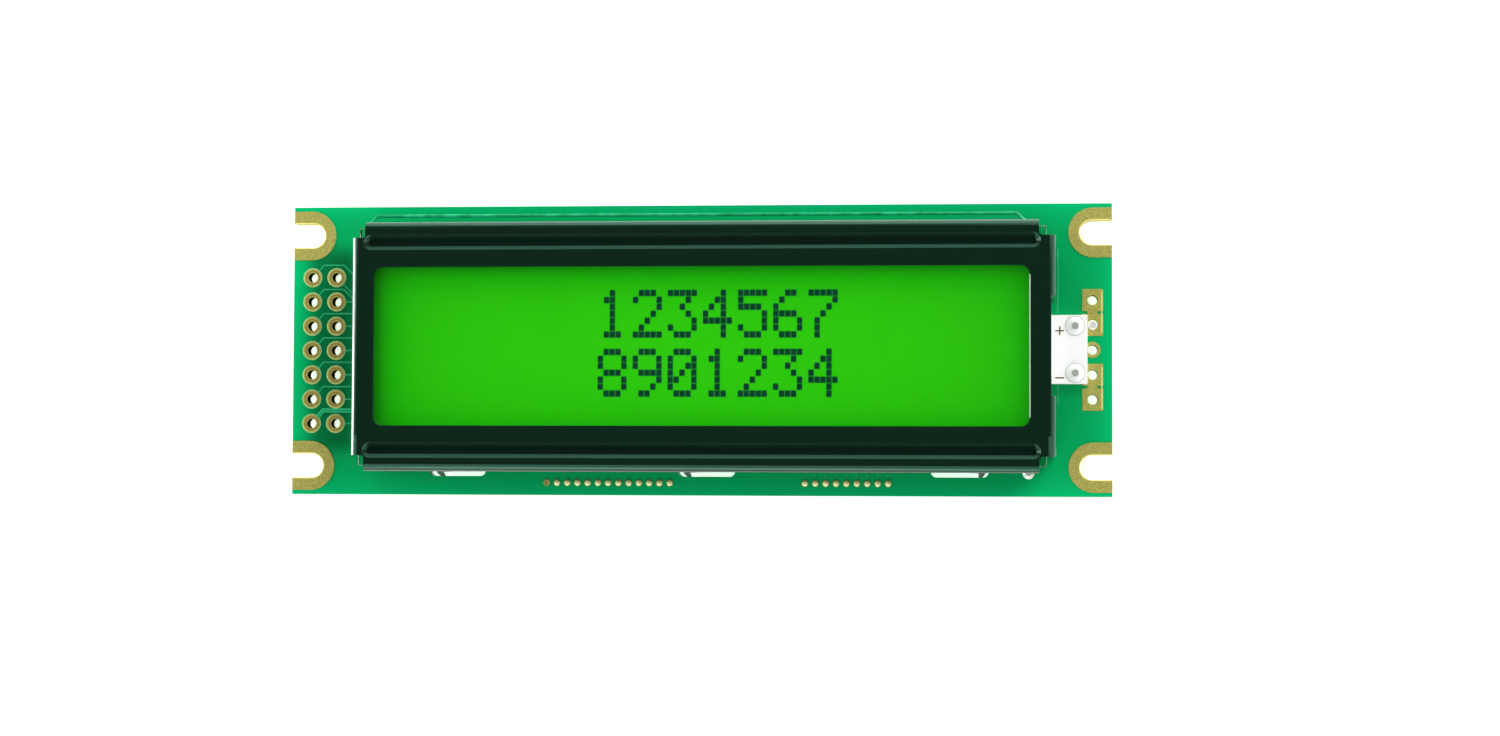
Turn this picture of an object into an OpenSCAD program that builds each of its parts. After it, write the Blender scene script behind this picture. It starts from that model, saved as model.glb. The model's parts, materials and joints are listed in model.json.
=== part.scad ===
// Character liquid crystal display module, sixteen characters by two lines.
// A folded steel bezel clamps a glass cell on two conductive rubber strips and a light box with
// its LED board onto a circuit board, and twisted tabs behind the board hold it all together.
// Millimetres. The origin is the middle of the board's outline, in the plane that the module
// rests on, with +Z out of the display and +X along the lines of characters.

/* [Board] */
// Length of the board past the bezel at the header's end
board_left = 8.2; // [6.5:0.1:20]
// Length of the board past the bezel at the supply holes' end
board_right = 5.9; // [5.5:0.1:20]
// Width of the board past the bezel on each long side
board_edge = 2.4; // [2.3:0.1:9]
// Thickness of the board
board_t = 1.6; // [0.8:0.1:2.4]
// Thickness of the gold-flashed copper on the faces
land_t = 0.07; // [0.03:0.01:0.12]
// Thickness of the plating in the holes
plating_t = 0.06; // [0.03:0.01:0.12]

/* [Fastening slots] */
// Width of each slot inside its plating
slot_w = 2.5; // [2:0.1:3]
// Distance from the board's end to the middle of the slot's round end
slot_in = 2.05; // [1.6:0.05:2.4]
// Distance from the board's long edge to the slot's middle line
slot_edge = 3; // [2.8:0.1:3.4]
// Width of the gold-flashed rim along the slot
slot_rim = 1.3; // [0.6:0.1:1.4]
// Width of the rim past the slot's round end
slot_rim_end = 1.15; // [0.5:0.05:1.4]

/* [Header holes] */
// Distance between neighbouring holes
pitch = 2.54; // [2:0.01:2.54]
// Number of holes in each header column
header_rows = 7; // [4:1:7]
// Number of header columns
header_columns = 2; // [1:1:2]
// Distance from the board's left end to the first column
header_in = 2; // [1.5:0.1:2.2]
// Diameter of each plated hole
hole_d = 1; // [0.8:0.05:1.1]
// Width of the ring round each hole
ring_w = 0.42; // [0.2:0.02:0.45]

/* [Supply holes] */
// Distance from the board's right end to the supply column
supply_in = 2; // [1.5:0.1:2.2]
// Number of supply holes
supply_rows = 5; // [5:1:5]
// Width of the square lands that join two supply holes
supply_land_w = 2.14; // [1.8:0.02:2.3]
// Height of the neck between the two halves of a joined land
supply_neck_h = 0.3; // [0.2:0.02:0.6]
// Length of the neck across the land
supply_neck_l = 1; // [0.8:0.1:1.6]
// Corner radius of the joined lands
supply_land_r = 0.1; // [0.05:0.05:0.6]
// Width of the ring round the middle hole
supply_ring_w = 0.32; // [0.2:0.02:0.45]
// Height of the solder on a filled supply hole
supply_bump_h = 0.15; // [0.05:0.01:0.3]

/* [Test lands] */
// Distance from the board's long edge to the row of test lands
test_in = 1.28; // [1:0.02:1.4]
// Distance between neighbouring test lands
test_pitch = 1.067; // [0.9:0.001:1.1]
// Number of test lands in the left group
test_left_count = 13; // [1:1:14]
// Number of test lands in the right group
test_right_count = 9; // [1:1:12]
// Distance from the window's middle to the left group's first land
test_left_start = 16.63; // [15:0.01:18]
// Distance from the window's middle to the right group's first land
test_right_start = 10.15; // [9:0.01:12]
// Diameter of each test land
test_d = 0.7; // [0.5:0.05:0.8]
// Diameter of each test hole
test_hole_d = 0.3; // [0.2:0.05:0.4]
// Height of the solder on a filled test hole
test_bump_h = 0.1; // [0.05:0.01:0.2]

/* [Bezel] */
// Length of the window
window_l = 66; // [60:0.5:96]
// Width of the window
window_w = 16; // [14:0.5:24]
// Corner radius of the window
window_r = 0.9; // [0.3:0.1:2]
// Height of the bezel's face above the board
bezel_h = 8.9; // [8:0.1:10]
// Thickness of the bezel's steel sheet
sheet_t = 0.5; // [0.4:0.05:0.6]
// Outer radius of the folds
fold_r = 0.75; // [0.7:0.05:1]
// Width of the bezel beside the window on the long sides
side_margin = 4.6; // [4.5:0.05:5]
// Width of the bezel beside the window at the left end
left_margin = 2.3; // [2.2:0.05:2.6]
// Width of the bezel beside the window at the right end
right_margin = 2.6; // [2.3:0.05:3]
// Length of the long folded sides past the window's ends
flap_over = 0.95; // [0.7:0.05:1.1]
// Depth of the corner notches from the long sides
notch_w = 1.6; // [1.3:0.05:1.8]
// Width of the opening in the right wall for the backlight's tab
tab_opening_w = 10; // [8.5:0.1:14]
// Depth of that opening from the bezel's right end
tab_opening_in = 0.45; // [0.3:0.05:0.7]

/* [Bezel grooves] */
// Distance from the window's edge to the groove
groove_from_window = 1.75; // [1.7:0.05:1.9]
// Width of the groove at the bezel's face
groove_w = 1.5; // [1.2:0.05:1.6]
// Width of the groove's floor
groove_floor_w = 0.7; // [0.5:0.05:0.9]
// Depth of the groove
groove_depth = 0.5; // [0.4:0.05:0.6]
// Distance that the groove runs past the end of the folded side
groove_over = 0.15; // [0:0.01:0.17]

/* [Bezel tabs] */
// Distance from the end of the folded side to the middle of the nearest tab slot
tab_in = 7.95; // [6:0.05:14]
// Length of each tab slot in the board
tab_slot_l = 5.9; // [4:0.1:7]
// Width of each tab slot in the board
tab_slot_w = 1.2; // [0.9:0.05:1.4]
// Distance that each tab slot reaches outside the bezel's wall
tab_slot_out = 0.45; // [0.2:0.05:0.6]
// Width of each tab
tab_w = 1.7; // [1.2:0.1:2.4]
// Distance from the slot's middle to the tab's middle
tab_offset = 1.75; // [0:0.05:2]
// Length of each tab behind the board
tab_out = 1.8; // [1.6:0.1:2.4]
// Angle that each tab is twisted through
tab_twist = 62; // [30:1:80]

/* [Glass cell] */
// Thickness of each glass plate
glass_t = 1.1; // [0.7:0.05:1.1]
// Height of the gap between the plates
cell_gap = 0.1; // [0.05:0.01:0.15]
// Width of the glue rim between the plates
seal_w = 1; // [0.6:0.1:1.4]
// Thickness of each polariser
polariser_t = 0.2; // [0.15:0.01:0.25]
// Clearance between the glass and the bezel's walls
glass_clear = 0.1; // [0.05:0.01:0.3]
// Distance from the front polariser's edge to the groove's bulge
polariser_clear = 0.05; // [0.02:0.01:0.3]
// Width of each conductive rubber strip
strip_w = 1.6; // [1.2:0.1:1.8]
// Distance from the end of the glass to the end of the strip
strip_in = 1; // [0.5:0.1:3]
// Clearance on each face of a rubber strip
strip_clear = 0.1; // [0.05:0.01:0.15]

/* [Backlight] */
// Thickness of the LED board
led_board_t = 1; // [0.6:0.1:1.4]
// Width of the tab at the LED board's right end
led_tab_w = 7; // [6.4:0.1:8]
// Clearance between the tab and the supply holes
led_tab_clear = 0.05; // [0.03:0.01:0.3]
// Thickness of the diffusing sheet
diffuser_t = 0.5; // [0.3:0.05:0.7]
// Width of the rim that holds the diffusing sheet
box_rim = 0.8; // [0.6:0.1:1]
// Width of the light box's wall at its foot
box_foot = 3; // [2:0.1:4]
// Width of the light box's wall under the diffusing sheet
box_ledge = 1.6; // [1.2:0.1:1.9]
// Clearance round the diffusing sheet
diffuser_clear = 0.05; // [0.02:0.01:0.1]
// Distance from the end of the glass to the end of the light box
box_in = 0.7; // [0.3:0.1:1.2]
// Number of LEDs in each row
led_columns = 9; // [2:1:12]
// Number of rows of LEDs
led_rows = 2; // [1:1:2]
// Length of one LED
led_l = 1.6; // [1:0.1:2]
// Width of one LED
led_w = 0.8; // [0.5:0.1:1.2]
// Height of one LED's base
led_base_h = 0.3; // [0.2:0.05:0.5]
// Height of one LED's clear body
led_body_h = 0.35; // [0.2:0.05:0.6]

/* [Backlight pins] */
// Distance between the two pins
pin_pitch = 4.8; // [4.2:0.1:5]
// Distance from the end of the tab to the pins
pin_in = 1.25; // [1.1:0.01:1.5]
// Diameter of each pin
pin_d = 0.7; // [0.5:0.05:0.8]
// Clearance round each pin
pin_clear = 0.05; // [0.03:0.01:0.12]
// Length of each pin past the faces it is soldered to
pin_out = 0.35; // [0.3:0.05:1]
// Width of the ring round each pin behind the board
pin_ring_w = 0.25; // [0.15:0.01:0.27]
// Diameter of the solder round each pin on the tab
pin_solder_d = 2; // [1.4:0.1:2.2]
// Height of the solder round each pin
pin_solder_h = 0.3; // [0.15:0.05:0.8]
// Width of the solder's top round each pin
pin_solder_top = 0.1; // [0.05:0.01:0.15]

/* [Parts behind the board] */
// Diameter of the controller's resin drop
controller_d = 14; // [8:0.5:15]
// Distance from the window's middle to the controller
controller_x = 13; // [8:0.5:16]
// Diameter of the driver's resin drop
driver_d = 12; // [8:0.5:14]
// Distance from the window's middle to the driver
driver_x = 15; // [8:0.5:18]
// Height of the resin drops
drop_h = 1.5; // [0.8:0.1:1.5]
// Length of a chip resistor or capacitor
chip_l = 2; // [1.6:0.1:3.2]
// Width of a chip resistor or capacitor
chip_w = 1.25; // [0.8:0.05:1.6]
// Length of the tinned end on a chip
chip_end = 0.4; // [0.2:0.05:0.5]
// Height of a chip resistor
resistor_h = 0.5; // [0.35:0.05:0.7]
// Number of chip resistors
resistor_count = 6; // [1:1:6]
// Distance from the window's middle to the resistors
resistor_x = 1; // [0.5:0.1:2]
// Distance between neighbouring chip resistors
resistor_pitch = 2.2; // [2:0.1:2.4]
// Height of a chip capacitor
capacitor_h = 0.85; // [0.5:0.05:1.2]
// Number of chip capacitors
capacitor_count = 3; // [1:1:4]
// Distance from the window's middle to the capacitors
capacitor_x = 25.5; // [24:0.5:30]
// Distance between neighbouring chip capacitors
capacitor_pitch = 3; // [2.2:0.1:3.4]
// Length of the solder at each chip end
chip_solder_l = 0.4; // [0.2:0.05:0.6]
// Diameter of the solder that joins the bezel to the earth land
earth_d = 1.2; // [0.9:0.1:2]
// Height of that solder on the bezel's wall
earth_h = 0.35; // [0.2:0.05:0.8]
// Distance from the end of the folded side to that solder's middle
earth_in = 0.95; // [0.8:0.05:2]

/* [Hidden] */
$fn = 48;
eps = 0.01;

// Heights above the plane that the module rests on
board_z = tab_out;
face_z = board_z + board_t;
bezel_z = face_z + bezel_h;
plate_z = bezel_z - sheet_t;
front_glass_z = plate_z - groove_depth - glass_t;
cell_z = front_glass_z - cell_gap;
rear_glass_z = cell_z - glass_t;
rear_polariser_z = rear_glass_z - polariser_t;
diffuser_z = rear_polariser_z - diffuser_t;
led_board_z = face_z + land_t;
light_box_z = led_board_z + led_board_t;

// Bezel outline, with the window's middle set off so that the board's middle is the origin
window_x = (board_left + left_margin - board_right - right_margin) / 2;
bezel_left = window_x - window_l / 2 - left_margin;
bezel_right = window_x + window_l / 2 + right_margin;
bezel_y = window_w / 2 + side_margin;
flap_x = window_l / 2 + flap_over;
wall_y = bezel_y - notch_w;
fold_inner_r = fold_r - sheet_t;

// Board
board_l = board_left + bezel_right - bezel_left + board_right;
board_w = 2 * (bezel_y + board_edge);
hole_r = hole_d / 2;
slot_r = slot_w / 2;
slot_x = board_l / 2 - slot_in;
slot_y = board_w / 2 - slot_edge;
header_x = -board_l / 2 + header_in;
header_y = (header_rows - 1) / 2 * pitch;
supply_x = board_l / 2 - supply_in;
supply_mid = (supply_rows - 1) / 2;
soldered_hole = 1;
test_y = -board_w / 2 + test_in;

// Grooves: the sheet keeps its thickness down the sloping sides
groove_r = groove_w / 2;
groove_floor_r = groove_floor_w / 2;
groove_y = window_w / 2 + groove_from_window + groove_r;
groove_run = groove_r - groove_floor_r;
groove_slope = groove_run / groove_depth;
groove_skin = sheet_t * sqrt(1 + groove_slope * groove_slope);
bulge_r = groove_r + groove_skin - sheet_t * groove_slope;
bulge_floor_r = bulge_r - groove_run;
groove_l = 2 * (flap_x + groove_over - groove_r);

// Tabs and their slots
tab_slots = [-1, 0, 1];
tab_pitch = flap_x - tab_in;
tab_hands = [-1, -1, 1];
tab_slot_y = bezel_y + tab_slot_out - tab_slot_w / 2;
tab_y = bezel_y - sheet_t / 2;

// Glass cell
glass_half_l = window_x - bezel_left - sheet_t - glass_clear;
glass_l = 2 * glass_half_l;
front_glass_w = 2 * (bezel_y - sheet_t - glass_clear);
strip_y = front_glass_w / 2 - strip_clear - strip_w;
rear_glass_w = 2 * (strip_y - strip_clear);
polariser_l = 2 * flap_x;
front_polariser_w = 2 * (groove_y - bulge_r - polariser_clear);

// Backlight
box_l = glass_l - 2 * box_in;
box_h = rear_polariser_z - light_box_z;
diffuser_l = box_l - 2 * box_rim;
diffuser_w = rear_glass_w - 2 * box_rim;
led_tab_end = supply_x - hole_r - led_tab_clear;
pin_x = led_tab_end - pin_in;
pin_r = pin_d / 2;

module rounded_rectangle(l, w, r) {
    square([l - 2 * r, w], center = true);
    square([l, w - 2 * r], center = true);
    for (x = [-1, 1], y = [-1, 1])
        translate([x * (l / 2 - r), y * (w / 2 - r)]) circle(r);
}

module plate(l, w, h) {
    translate([-l / 2, -w / 2, 0]) cube([l, w, h]);
}

module at_slots() {
    for (x = [-1, 1], y = [-1, 1])
        translate([x * slot_x, y * slot_y]) mirror([x < 0 ? 1 : 0, 0]) children();
}

module at_header() {
    for (i = [0 : header_columns - 1], j = [0 : header_rows - 1])
        translate([header_x + i * pitch, header_y - j * pitch]) children();
}

module at_supply(rows) {
    for (i = rows) translate([supply_x, (supply_mid - i) * pitch]) children();
}

module at_test(first_left, first_right) {
    for (i = [first_left : test_left_count - 1])
        translate([window_x - test_left_start + i * test_pitch, test_y]) children();
    for (i = [first_right : test_right_count - 1])
        translate([window_x + test_right_start + i * test_pitch, test_y]) children();
}

module at_tabs() {
    for (side = [-1, 1], i = [0 : len(tab_slots) - 1])
        translate([window_x + tab_slots[i] * tab_pitch, 0]) mirror([0, side > 0 ? 1 : 0])
            mirror([tab_hands[i] < 0 ? 1 : 0, 0]) children();
}

module at_pins() {
    for (side = [-1, 1]) translate([pin_x, side * pin_pitch / 2]) children();
}

module at_resistors() {
    for (i = [0 : resistor_count - 1])
        translate([window_x + resistor_x, (i - (resistor_count - 1) / 2) * resistor_pitch])
            children();
}

module at_capacitors() {
    for (i = [0 : capacitor_count - 1])
        translate([window_x + capacitor_x, (i - (capacitor_count - 1) / 2) * capacitor_pitch])
            children();
}

// Round end on a straight run towards +X
module slot_shape(r, run) {
    intersection() {
        circle(r);
        translate([-r, -r]) square([r + run, 2 * r]);
    }
    translate([0, -r]) square([run, 2 * r]);
}

module slot_land_shape() {
    end_shift = slot_rim - slot_rim_end;
    translate([end_shift, 0]) slot_shape(slot_r + slot_rim, slot_in - end_shift);
}

// Plated hole: a ring on each face and the barrel between them
module plated_hole(inner_r, outer_r) {
    rotate_extrude() polygon([
        [inner_r, -land_t], [outer_r, -land_t], [outer_r, 0], [inner_r + plating_t, 0],
        [inner_r + plating_t, board_t], [outer_r, board_t], [outer_r, board_t + land_t],
        [inner_r, board_t + land_t]]);
}

module hole(r) {
    translate([0, 0, -eps]) cylinder(h = board_t + 2 * eps, r = r);
}

module board() {
    color("green") translate([0, 0, board_z]) difference() {
        plate(board_l, board_w, board_t);
        at_slots() translate([0, 0, -eps])
            linear_extrude(board_t + 2 * eps) slot_shape(slot_r + plating_t, slot_in + eps);
        at_header() hole(hole_r + plating_t);
        at_supply([0 : supply_rows - 1]) hole(hole_r + plating_t);
        at_test(0, 0) hole(test_hole_d / 2 + plating_t);
        at_pins() hole(pin_r + pin_clear + plating_t);
        at_tabs() tab_slot();
    }
}

module tab_slot() {
    translate([0, -tab_slot_y, -eps]) linear_extrude(board_t + 2 * eps)
        rounded_rectangle(tab_slot_l, tab_slot_w, tab_slot_w / 2 - eps);
}

module slot_lands() {
    color("gold") translate([0, 0, board_z]) at_slots() difference() {
        union() {
            for (z = [-land_t, board_t]) translate([0, 0, z])
                linear_extrude(land_t) slot_land_shape();
            linear_extrude(board_t) slot_shape(slot_r + plating_t, slot_in);
        }
        translate([0, 0, -land_t - eps]) linear_extrude(board_t + 2 * (land_t + eps))
            slot_shape(slot_r, slot_in + eps);
    }
}

module header_lands() {
    color("gold") translate([0, 0, board_z]) at_header()
        plated_hole(hole_r, hole_r + ring_w);
}

// One land joins the two holes at each end of the supply column, and the middle hole has a ring
module supply_lands() {
    color("gold") translate([0, 0, board_z]) {
        at_supply([supply_mid : supply_mid]) plated_hole(hole_r, hole_r + supply_ring_w);
        for (side = [-1, 1]) translate([supply_x, side * (supply_mid - 0.5) * pitch])
            joined_land();
    }
}

module joined_land() {
    difference() {
        union() {
            for (z = [-land_t, board_t]) translate([0, 0, z]) linear_extrude(land_t)
                joined_land_shape();
            for (y = [-1, 1]) translate([0, y * pitch / 2])
                cylinder(h = board_t, r = hole_r + plating_t);
        }
        for (y = [-1, 1]) translate([0, y * pitch / 2, -land_t - eps])
            cylinder(h = board_t + 2 * (land_t + eps), r = hole_r);
    }
}

module joined_land_shape() {
    half_h = pitch - supply_neck_h;
    for (y = [-1, 1]) translate([0, y * pitch / 2])
        rounded_rectangle(supply_land_w, half_h, supply_land_r);
    square([supply_neck_l, pitch], center = true);
}

// Solder fills the second supply hole
module supply_solder() {
    color("silver") translate([0, 0, board_z]) at_supply([soldered_hole : soldered_hole]) {
        translate([0, 0, -land_t]) cylinder(h = board_t + 2 * land_t, r = hole_r);
        translate([0, 0, board_t + land_t])
            cylinder(h = supply_bump_h, r1 = hole_r, r2 = hole_r - supply_bump_h);
    }
}

module test_lands() {
    color("gold") translate([0, 0, board_z]) at_test(0, 0)
        plated_hole(test_hole_d / 2, test_d / 2);
}

// Solder fills every test hole but the first
module test_solder() {
    color("silver") translate([0, 0, board_z]) at_test(1, 0) {
        translate([0, 0, -land_t]) cylinder(h = board_t + 2 * land_t, r = test_hole_d / 2);
        translate([0, 0, board_t + land_t])
            cylinder(h = test_bump_h, r1 = test_d / 2 - land_t, r2 = test_hole_d / 2);
    }
}

// Quarter-round fold of the sheet along +X, turning down towards +Y
module fold(l) {
    rotate([90, 0, 90]) linear_extrude(l) intersection() {
        difference() {
            circle(fold_r);
            circle(fold_inner_r);
        }
        square(fold_r);
    }
}

module long_side() {
    wall_h = bezel_h - fold_r;
    translate([window_x - flap_x, bezel_y - fold_r, bezel_z - fold_r]) fold(2 * flap_x);
    translate([window_x - flap_x, bezel_y - sheet_t, face_z]) cube([2 * flap_x, sheet_t, wall_h]);
}

module short_side(end_x, hand) {
    wall_h = bezel_h - fold_r;
    translate([end_x - hand * fold_r, 0, bezel_z - fold_r]) mirror([hand < 0 ? 1 : 0, 0])
        translate([0, wall_y, 0]) rotate([0, 0, -90]) fold(2 * wall_y);
    translate([hand > 0 ? end_x - sheet_t : end_x, -wall_y, face_z])
        cube([sheet_t, 2 * wall_y, wall_h]);
}

module face_blank() {
    long_w = 2 * (bezel_y - fold_r);
    short_l = bezel_right - bezel_left - 2 * fold_r;
    translate([window_x - flap_x, -long_w / 2]) square([2 * flap_x, long_w]);
    translate([bezel_left + fold_r, -wall_y]) square([short_l, 2 * wall_y]);
}

// Long trough with round ends, from z = 0 down to -depth
module trough(top_r, floor_r, depth) {
    rotate([90, 0, 90]) translate([0, 0, -groove_l / 2]) linear_extrude(groove_l)
        polygon([[-top_r, 0], [-floor_r, -depth], [floor_r, -depth], [top_r, 0]]);
    for (x = [-1, 1]) translate([x * groove_l / 2, 0, -depth])
        cylinder(h = depth, r1 = floor_r, r2 = top_r);
}

module at_grooves(z) {
    for (side = [-1, 1]) translate([window_x, side * groove_y, z]) children();
}

// Tab at the wall's foot: straight through the board, then twisted behind it
module tab() {
    twist_gap = 0.1;
    twist_h = tab_out - twist_gap;
    straight_h = board_t + twist_gap;
    translate([tab_offset, -tab_y, face_z - straight_h]) {
        translate([-tab_w / 2, -sheet_t / 2, 0]) cube([tab_w, sheet_t, straight_h]);
        mirror([0, 0, 1]) linear_extrude(twist_h, twist = tab_twist, slices = 8, segments = 4)
            square([tab_w, sheet_t], center = true);
    }
}

module bezel() {
    opening_h = bezel_h - sheet_t;
    color("dimgray") difference() {
        union() {
            translate([0, 0, plate_z]) linear_extrude(sheet_t) face_blank();
            for (side = [0, 1]) mirror([0, side]) long_side();
            short_side(bezel_left, -1);
            short_side(bezel_right, 1);
            at_grooves(plate_z) trough(bulge_r, bulge_floor_r, groove_depth);
            at_tabs() tab();
        }
        translate([window_x, 0, plate_z - eps]) linear_extrude(sheet_t + 2 * eps)
            rounded_rectangle(window_l, window_w, window_r);
        at_grooves(bezel_z) trough(groove_r, groove_floor_r, groove_depth);
        translate([bezel_right - fold_r - eps, -tab_opening_w / 2, face_z - eps])
            cube([fold_r + 2 * eps, tab_opening_w, opening_h]);
        translate([bezel_right - tab_opening_in, -tab_opening_w / 2, face_z])
            cube([tab_opening_in + eps, tab_opening_w, bezel_h + eps]);
    }
}

// Solder between the board's earth land and the foot of the bezel's wall
module earth_solder() {
    color("silver") translate([window_x + flap_x - earth_in, -bezel_y, face_z]) intersection() {
        cylinder(h = earth_h, r1 = earth_d / 2, r2 = earth_d / 4);
        translate([-earth_d, -earth_d, 0]) cube([2 * earth_d, earth_d, earth_h]);
    }
}

module front_polariser() {
    color("darkolivegreen", 0.5) translate([window_x, 0, front_glass_z + glass_t])
        plate(polariser_l, front_polariser_w, polariser_t);
}

module front_glass() {
    color("lightcyan", 0.5) translate([window_x, 0, front_glass_z]) plate(glass_l, front_glass_w, glass_t);
}

module cell_seal() {
    color("ivory") translate([window_x, 0, cell_z]) difference() {
        plate(glass_l, rear_glass_w, cell_gap);
        translate([0, 0, -eps])
            plate(glass_l - 2 * seal_w, rear_glass_w - 2 * seal_w, cell_gap + 2 * eps);
    }
}

module rear_glass() {
    color("lightcyan", 0.5) translate([window_x, 0, rear_glass_z]) plate(glass_l, rear_glass_w, glass_t);
}

module rear_polariser() {
    color("olive", 0.6)
        translate([window_x, 0, rear_polariser_z]) plate(polariser_l, diffuser_w, polariser_t);
}

module rubber_strips() {
    color("lightgray") for (side = [0, 1]) mirror([0, side])
        translate([window_x - glass_half_l + strip_in, strip_y, face_z])
            cube([glass_l - 2 * strip_in, strip_w, front_glass_z - face_z]);
}

// White frame with sloping inner walls that throw the light up, and a rim round the diffuser
module light_box() {
    hollow_h = box_h - diffuser_t;
    top_half = rear_glass_w / 2 - box_ledge;
    foot_half = rear_glass_w / 2 - box_foot;
    color("white") translate([window_x, 0, light_box_z]) difference() {
        plate(box_l, rear_glass_w, box_h);
        rotate([90, 0, 90]) translate([0, 0, -box_l / 2 + box_ledge])
            linear_extrude(box_l - 2 * box_ledge) polygon([
                [-foot_half, -eps], [foot_half, -eps], [top_half, hollow_h + eps],
                [-top_half, hollow_h + eps]]);
        translate([0, 0, hollow_h]) plate(diffuser_l, diffuser_w, diffuser_t + eps);
    }
}

module diffuser() {
    color("honeydew") translate([window_x, 0, diffuser_z])
        plate(diffuser_l - 2 * diffuser_clear, diffuser_w - 2 * diffuser_clear, diffuser_t);
}

module led_board() {
    color("white") translate([0, 0, led_board_z]) difference() {
        union() {
            translate([window_x, 0, 0]) plate(box_l, rear_glass_w, led_board_t);
            translate([window_x, -led_tab_w / 2, 0])
                cube([led_tab_end - window_x, led_tab_w, led_board_t]);
        }
        at_pins() translate([0, 0, -eps])
            cylinder(h = led_board_t + 2 * eps, r = pin_r + pin_clear);
    }
}

module at_leds() {
    step_x = (box_l - 2 * box_ledge) / led_columns;
    step_y = (rear_glass_w - 2 * box_foot) / led_rows;
    for (i = [0 : led_columns - 1], j = [0 : led_rows - 1])
        translate([window_x + (i - (led_columns - 1) / 2) * step_x,
            (j - (led_rows - 1) / 2) * step_y, light_box_z]) children();
}

module led_bases() {
    color("ivory") at_leds() plate(led_l, led_w, led_base_h);
}

module led_lenses() {
    foot = 0.36 * led_l;
    top = 0.3 * led_l;
    color("yellowgreen") at_leds() translate([0, 0, led_base_h])
        rotate([90, 0, 0]) translate([0, 0, -led_w / 2]) linear_extrude(led_w)
            polygon([[-foot, 0], [foot, 0], [top, led_body_h], [-top, led_body_h]]);
}

module backlight_pins() {
    color("silver") at_pins() translate([0, 0, board_z - pin_out])
        cylinder(h = light_box_z - board_z + 2 * pin_out, r = pin_r);
}

// Plating in the pins' holes, with a ring on the board's back only, as the LED board lies in front
module pin_lands() {
    inner_r = pin_r + pin_clear;
    outer_r = inner_r + pin_ring_w;
    color("gold") at_pins() translate([0, 0, board_z]) rotate_extrude() polygon([
        [inner_r, -land_t], [outer_r, -land_t], [outer_r, 0], [inner_r + plating_t, 0],
        [inner_r + plating_t, board_t], [inner_r, board_t]]);
}

module solder_cone(h, foot_r) {
    difference() {
        cylinder(h = h, r1 = foot_r, r2 = pin_r + pin_solder_top);
        translate([0, 0, -eps]) cylinder(h = h + 2 * eps, r = pin_r);
    }
}

module backlight_solder() {
    color("silver") at_pins() {
        translate([0, 0, light_box_z]) solder_cone(pin_solder_h, pin_solder_d / 2);
        translate([0, 0, board_z - land_t]) mirror([0, 0, 1])
            solder_cone(pin_solder_h, pin_r + pin_clear + pin_ring_w);
    }
}

// Low round drop of hard resin hanging from the board's back
module resin_drop(d) {
    ball_r = (d * d / 4 + drop_h * drop_h) / (2 * drop_h);
    translate([0, 0, board_z - drop_h]) rotate_extrude() intersection() {
        translate([0, ball_r]) circle(ball_r, $fn = 240);
        square([d / 2, drop_h]);
    }
}

module controller_drop() {
    color("black") translate([window_x - controller_x, 0]) resin_drop(controller_d);
}

module driver_drop() {
    color("black") translate([window_x + driver_x, 0]) resin_drop(driver_d);
}

module chip_body(h) {
    translate([0, 0, board_z - h]) plate(chip_l - 2 * chip_end, chip_w, h);
}

module chip_ends(h) {
    for (x = [-1, 1]) translate([x * (chip_l - chip_end) / 2, 0, board_z - h])
        plate(chip_end, chip_w, h);
}

module resistors() {
    color("black") at_resistors() chip_body(resistor_h);
}

module resistor_ends() {
    color("silver") at_resistors() chip_ends(resistor_h);
}

module capacitors() {
    color("peru") at_capacitors() chip_body(capacitor_h);
}

module capacitor_ends() {
    color("silver") at_capacitors() chip_ends(capacitor_h);
}

// Wedge of solder that climbs most of the way up each chip end
module chip_wedges(h) {
    climb = 0.7 * h;
    for (side = [0, 1]) mirror([side, 0]) translate([chip_l / 2, -chip_w / 2, board_z])
        rotate([-90, 0, 0]) linear_extrude(chip_w)
            polygon([[0, 0], [chip_solder_l, 0], [0, climb]]);
}

module chip_solder() {
    color("lightgray") {
        at_resistors() chip_wedges(resistor_h);
        at_capacitors() chip_wedges(capacitor_h);
    }
}

board();
slot_lands();
header_lands();
supply_lands();
test_lands();
test_solder();
supply_solder();
bezel();
earth_solder();
front_polariser();
front_glass();
cell_seal();
rear_glass();
rear_polariser();
rubber_strips();
light_box();
diffuser();
led_board();
led_bases();
led_lenses();
backlight_pins();
pin_lands();
backlight_solder();
controller_drop();
driver_drop();
resistors();
resistor_ends();
capacitors();
capacitor_ends();
chip_solder();
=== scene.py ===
"""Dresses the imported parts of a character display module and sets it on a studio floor.

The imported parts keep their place. The script gives each one its finish, adds the lit liquid
crystal layer and its dots, the copper tracks, the printed marks and the front film, and makes
the floor, the lights and the camera.
"""

from __future__ import annotations

import json
import logging
import math
from dataclasses import dataclass, field
from enum import Enum
from typing import Iterable

import bmesh
import bpy
from mathutils import Euler, Matrix, Vector

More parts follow.
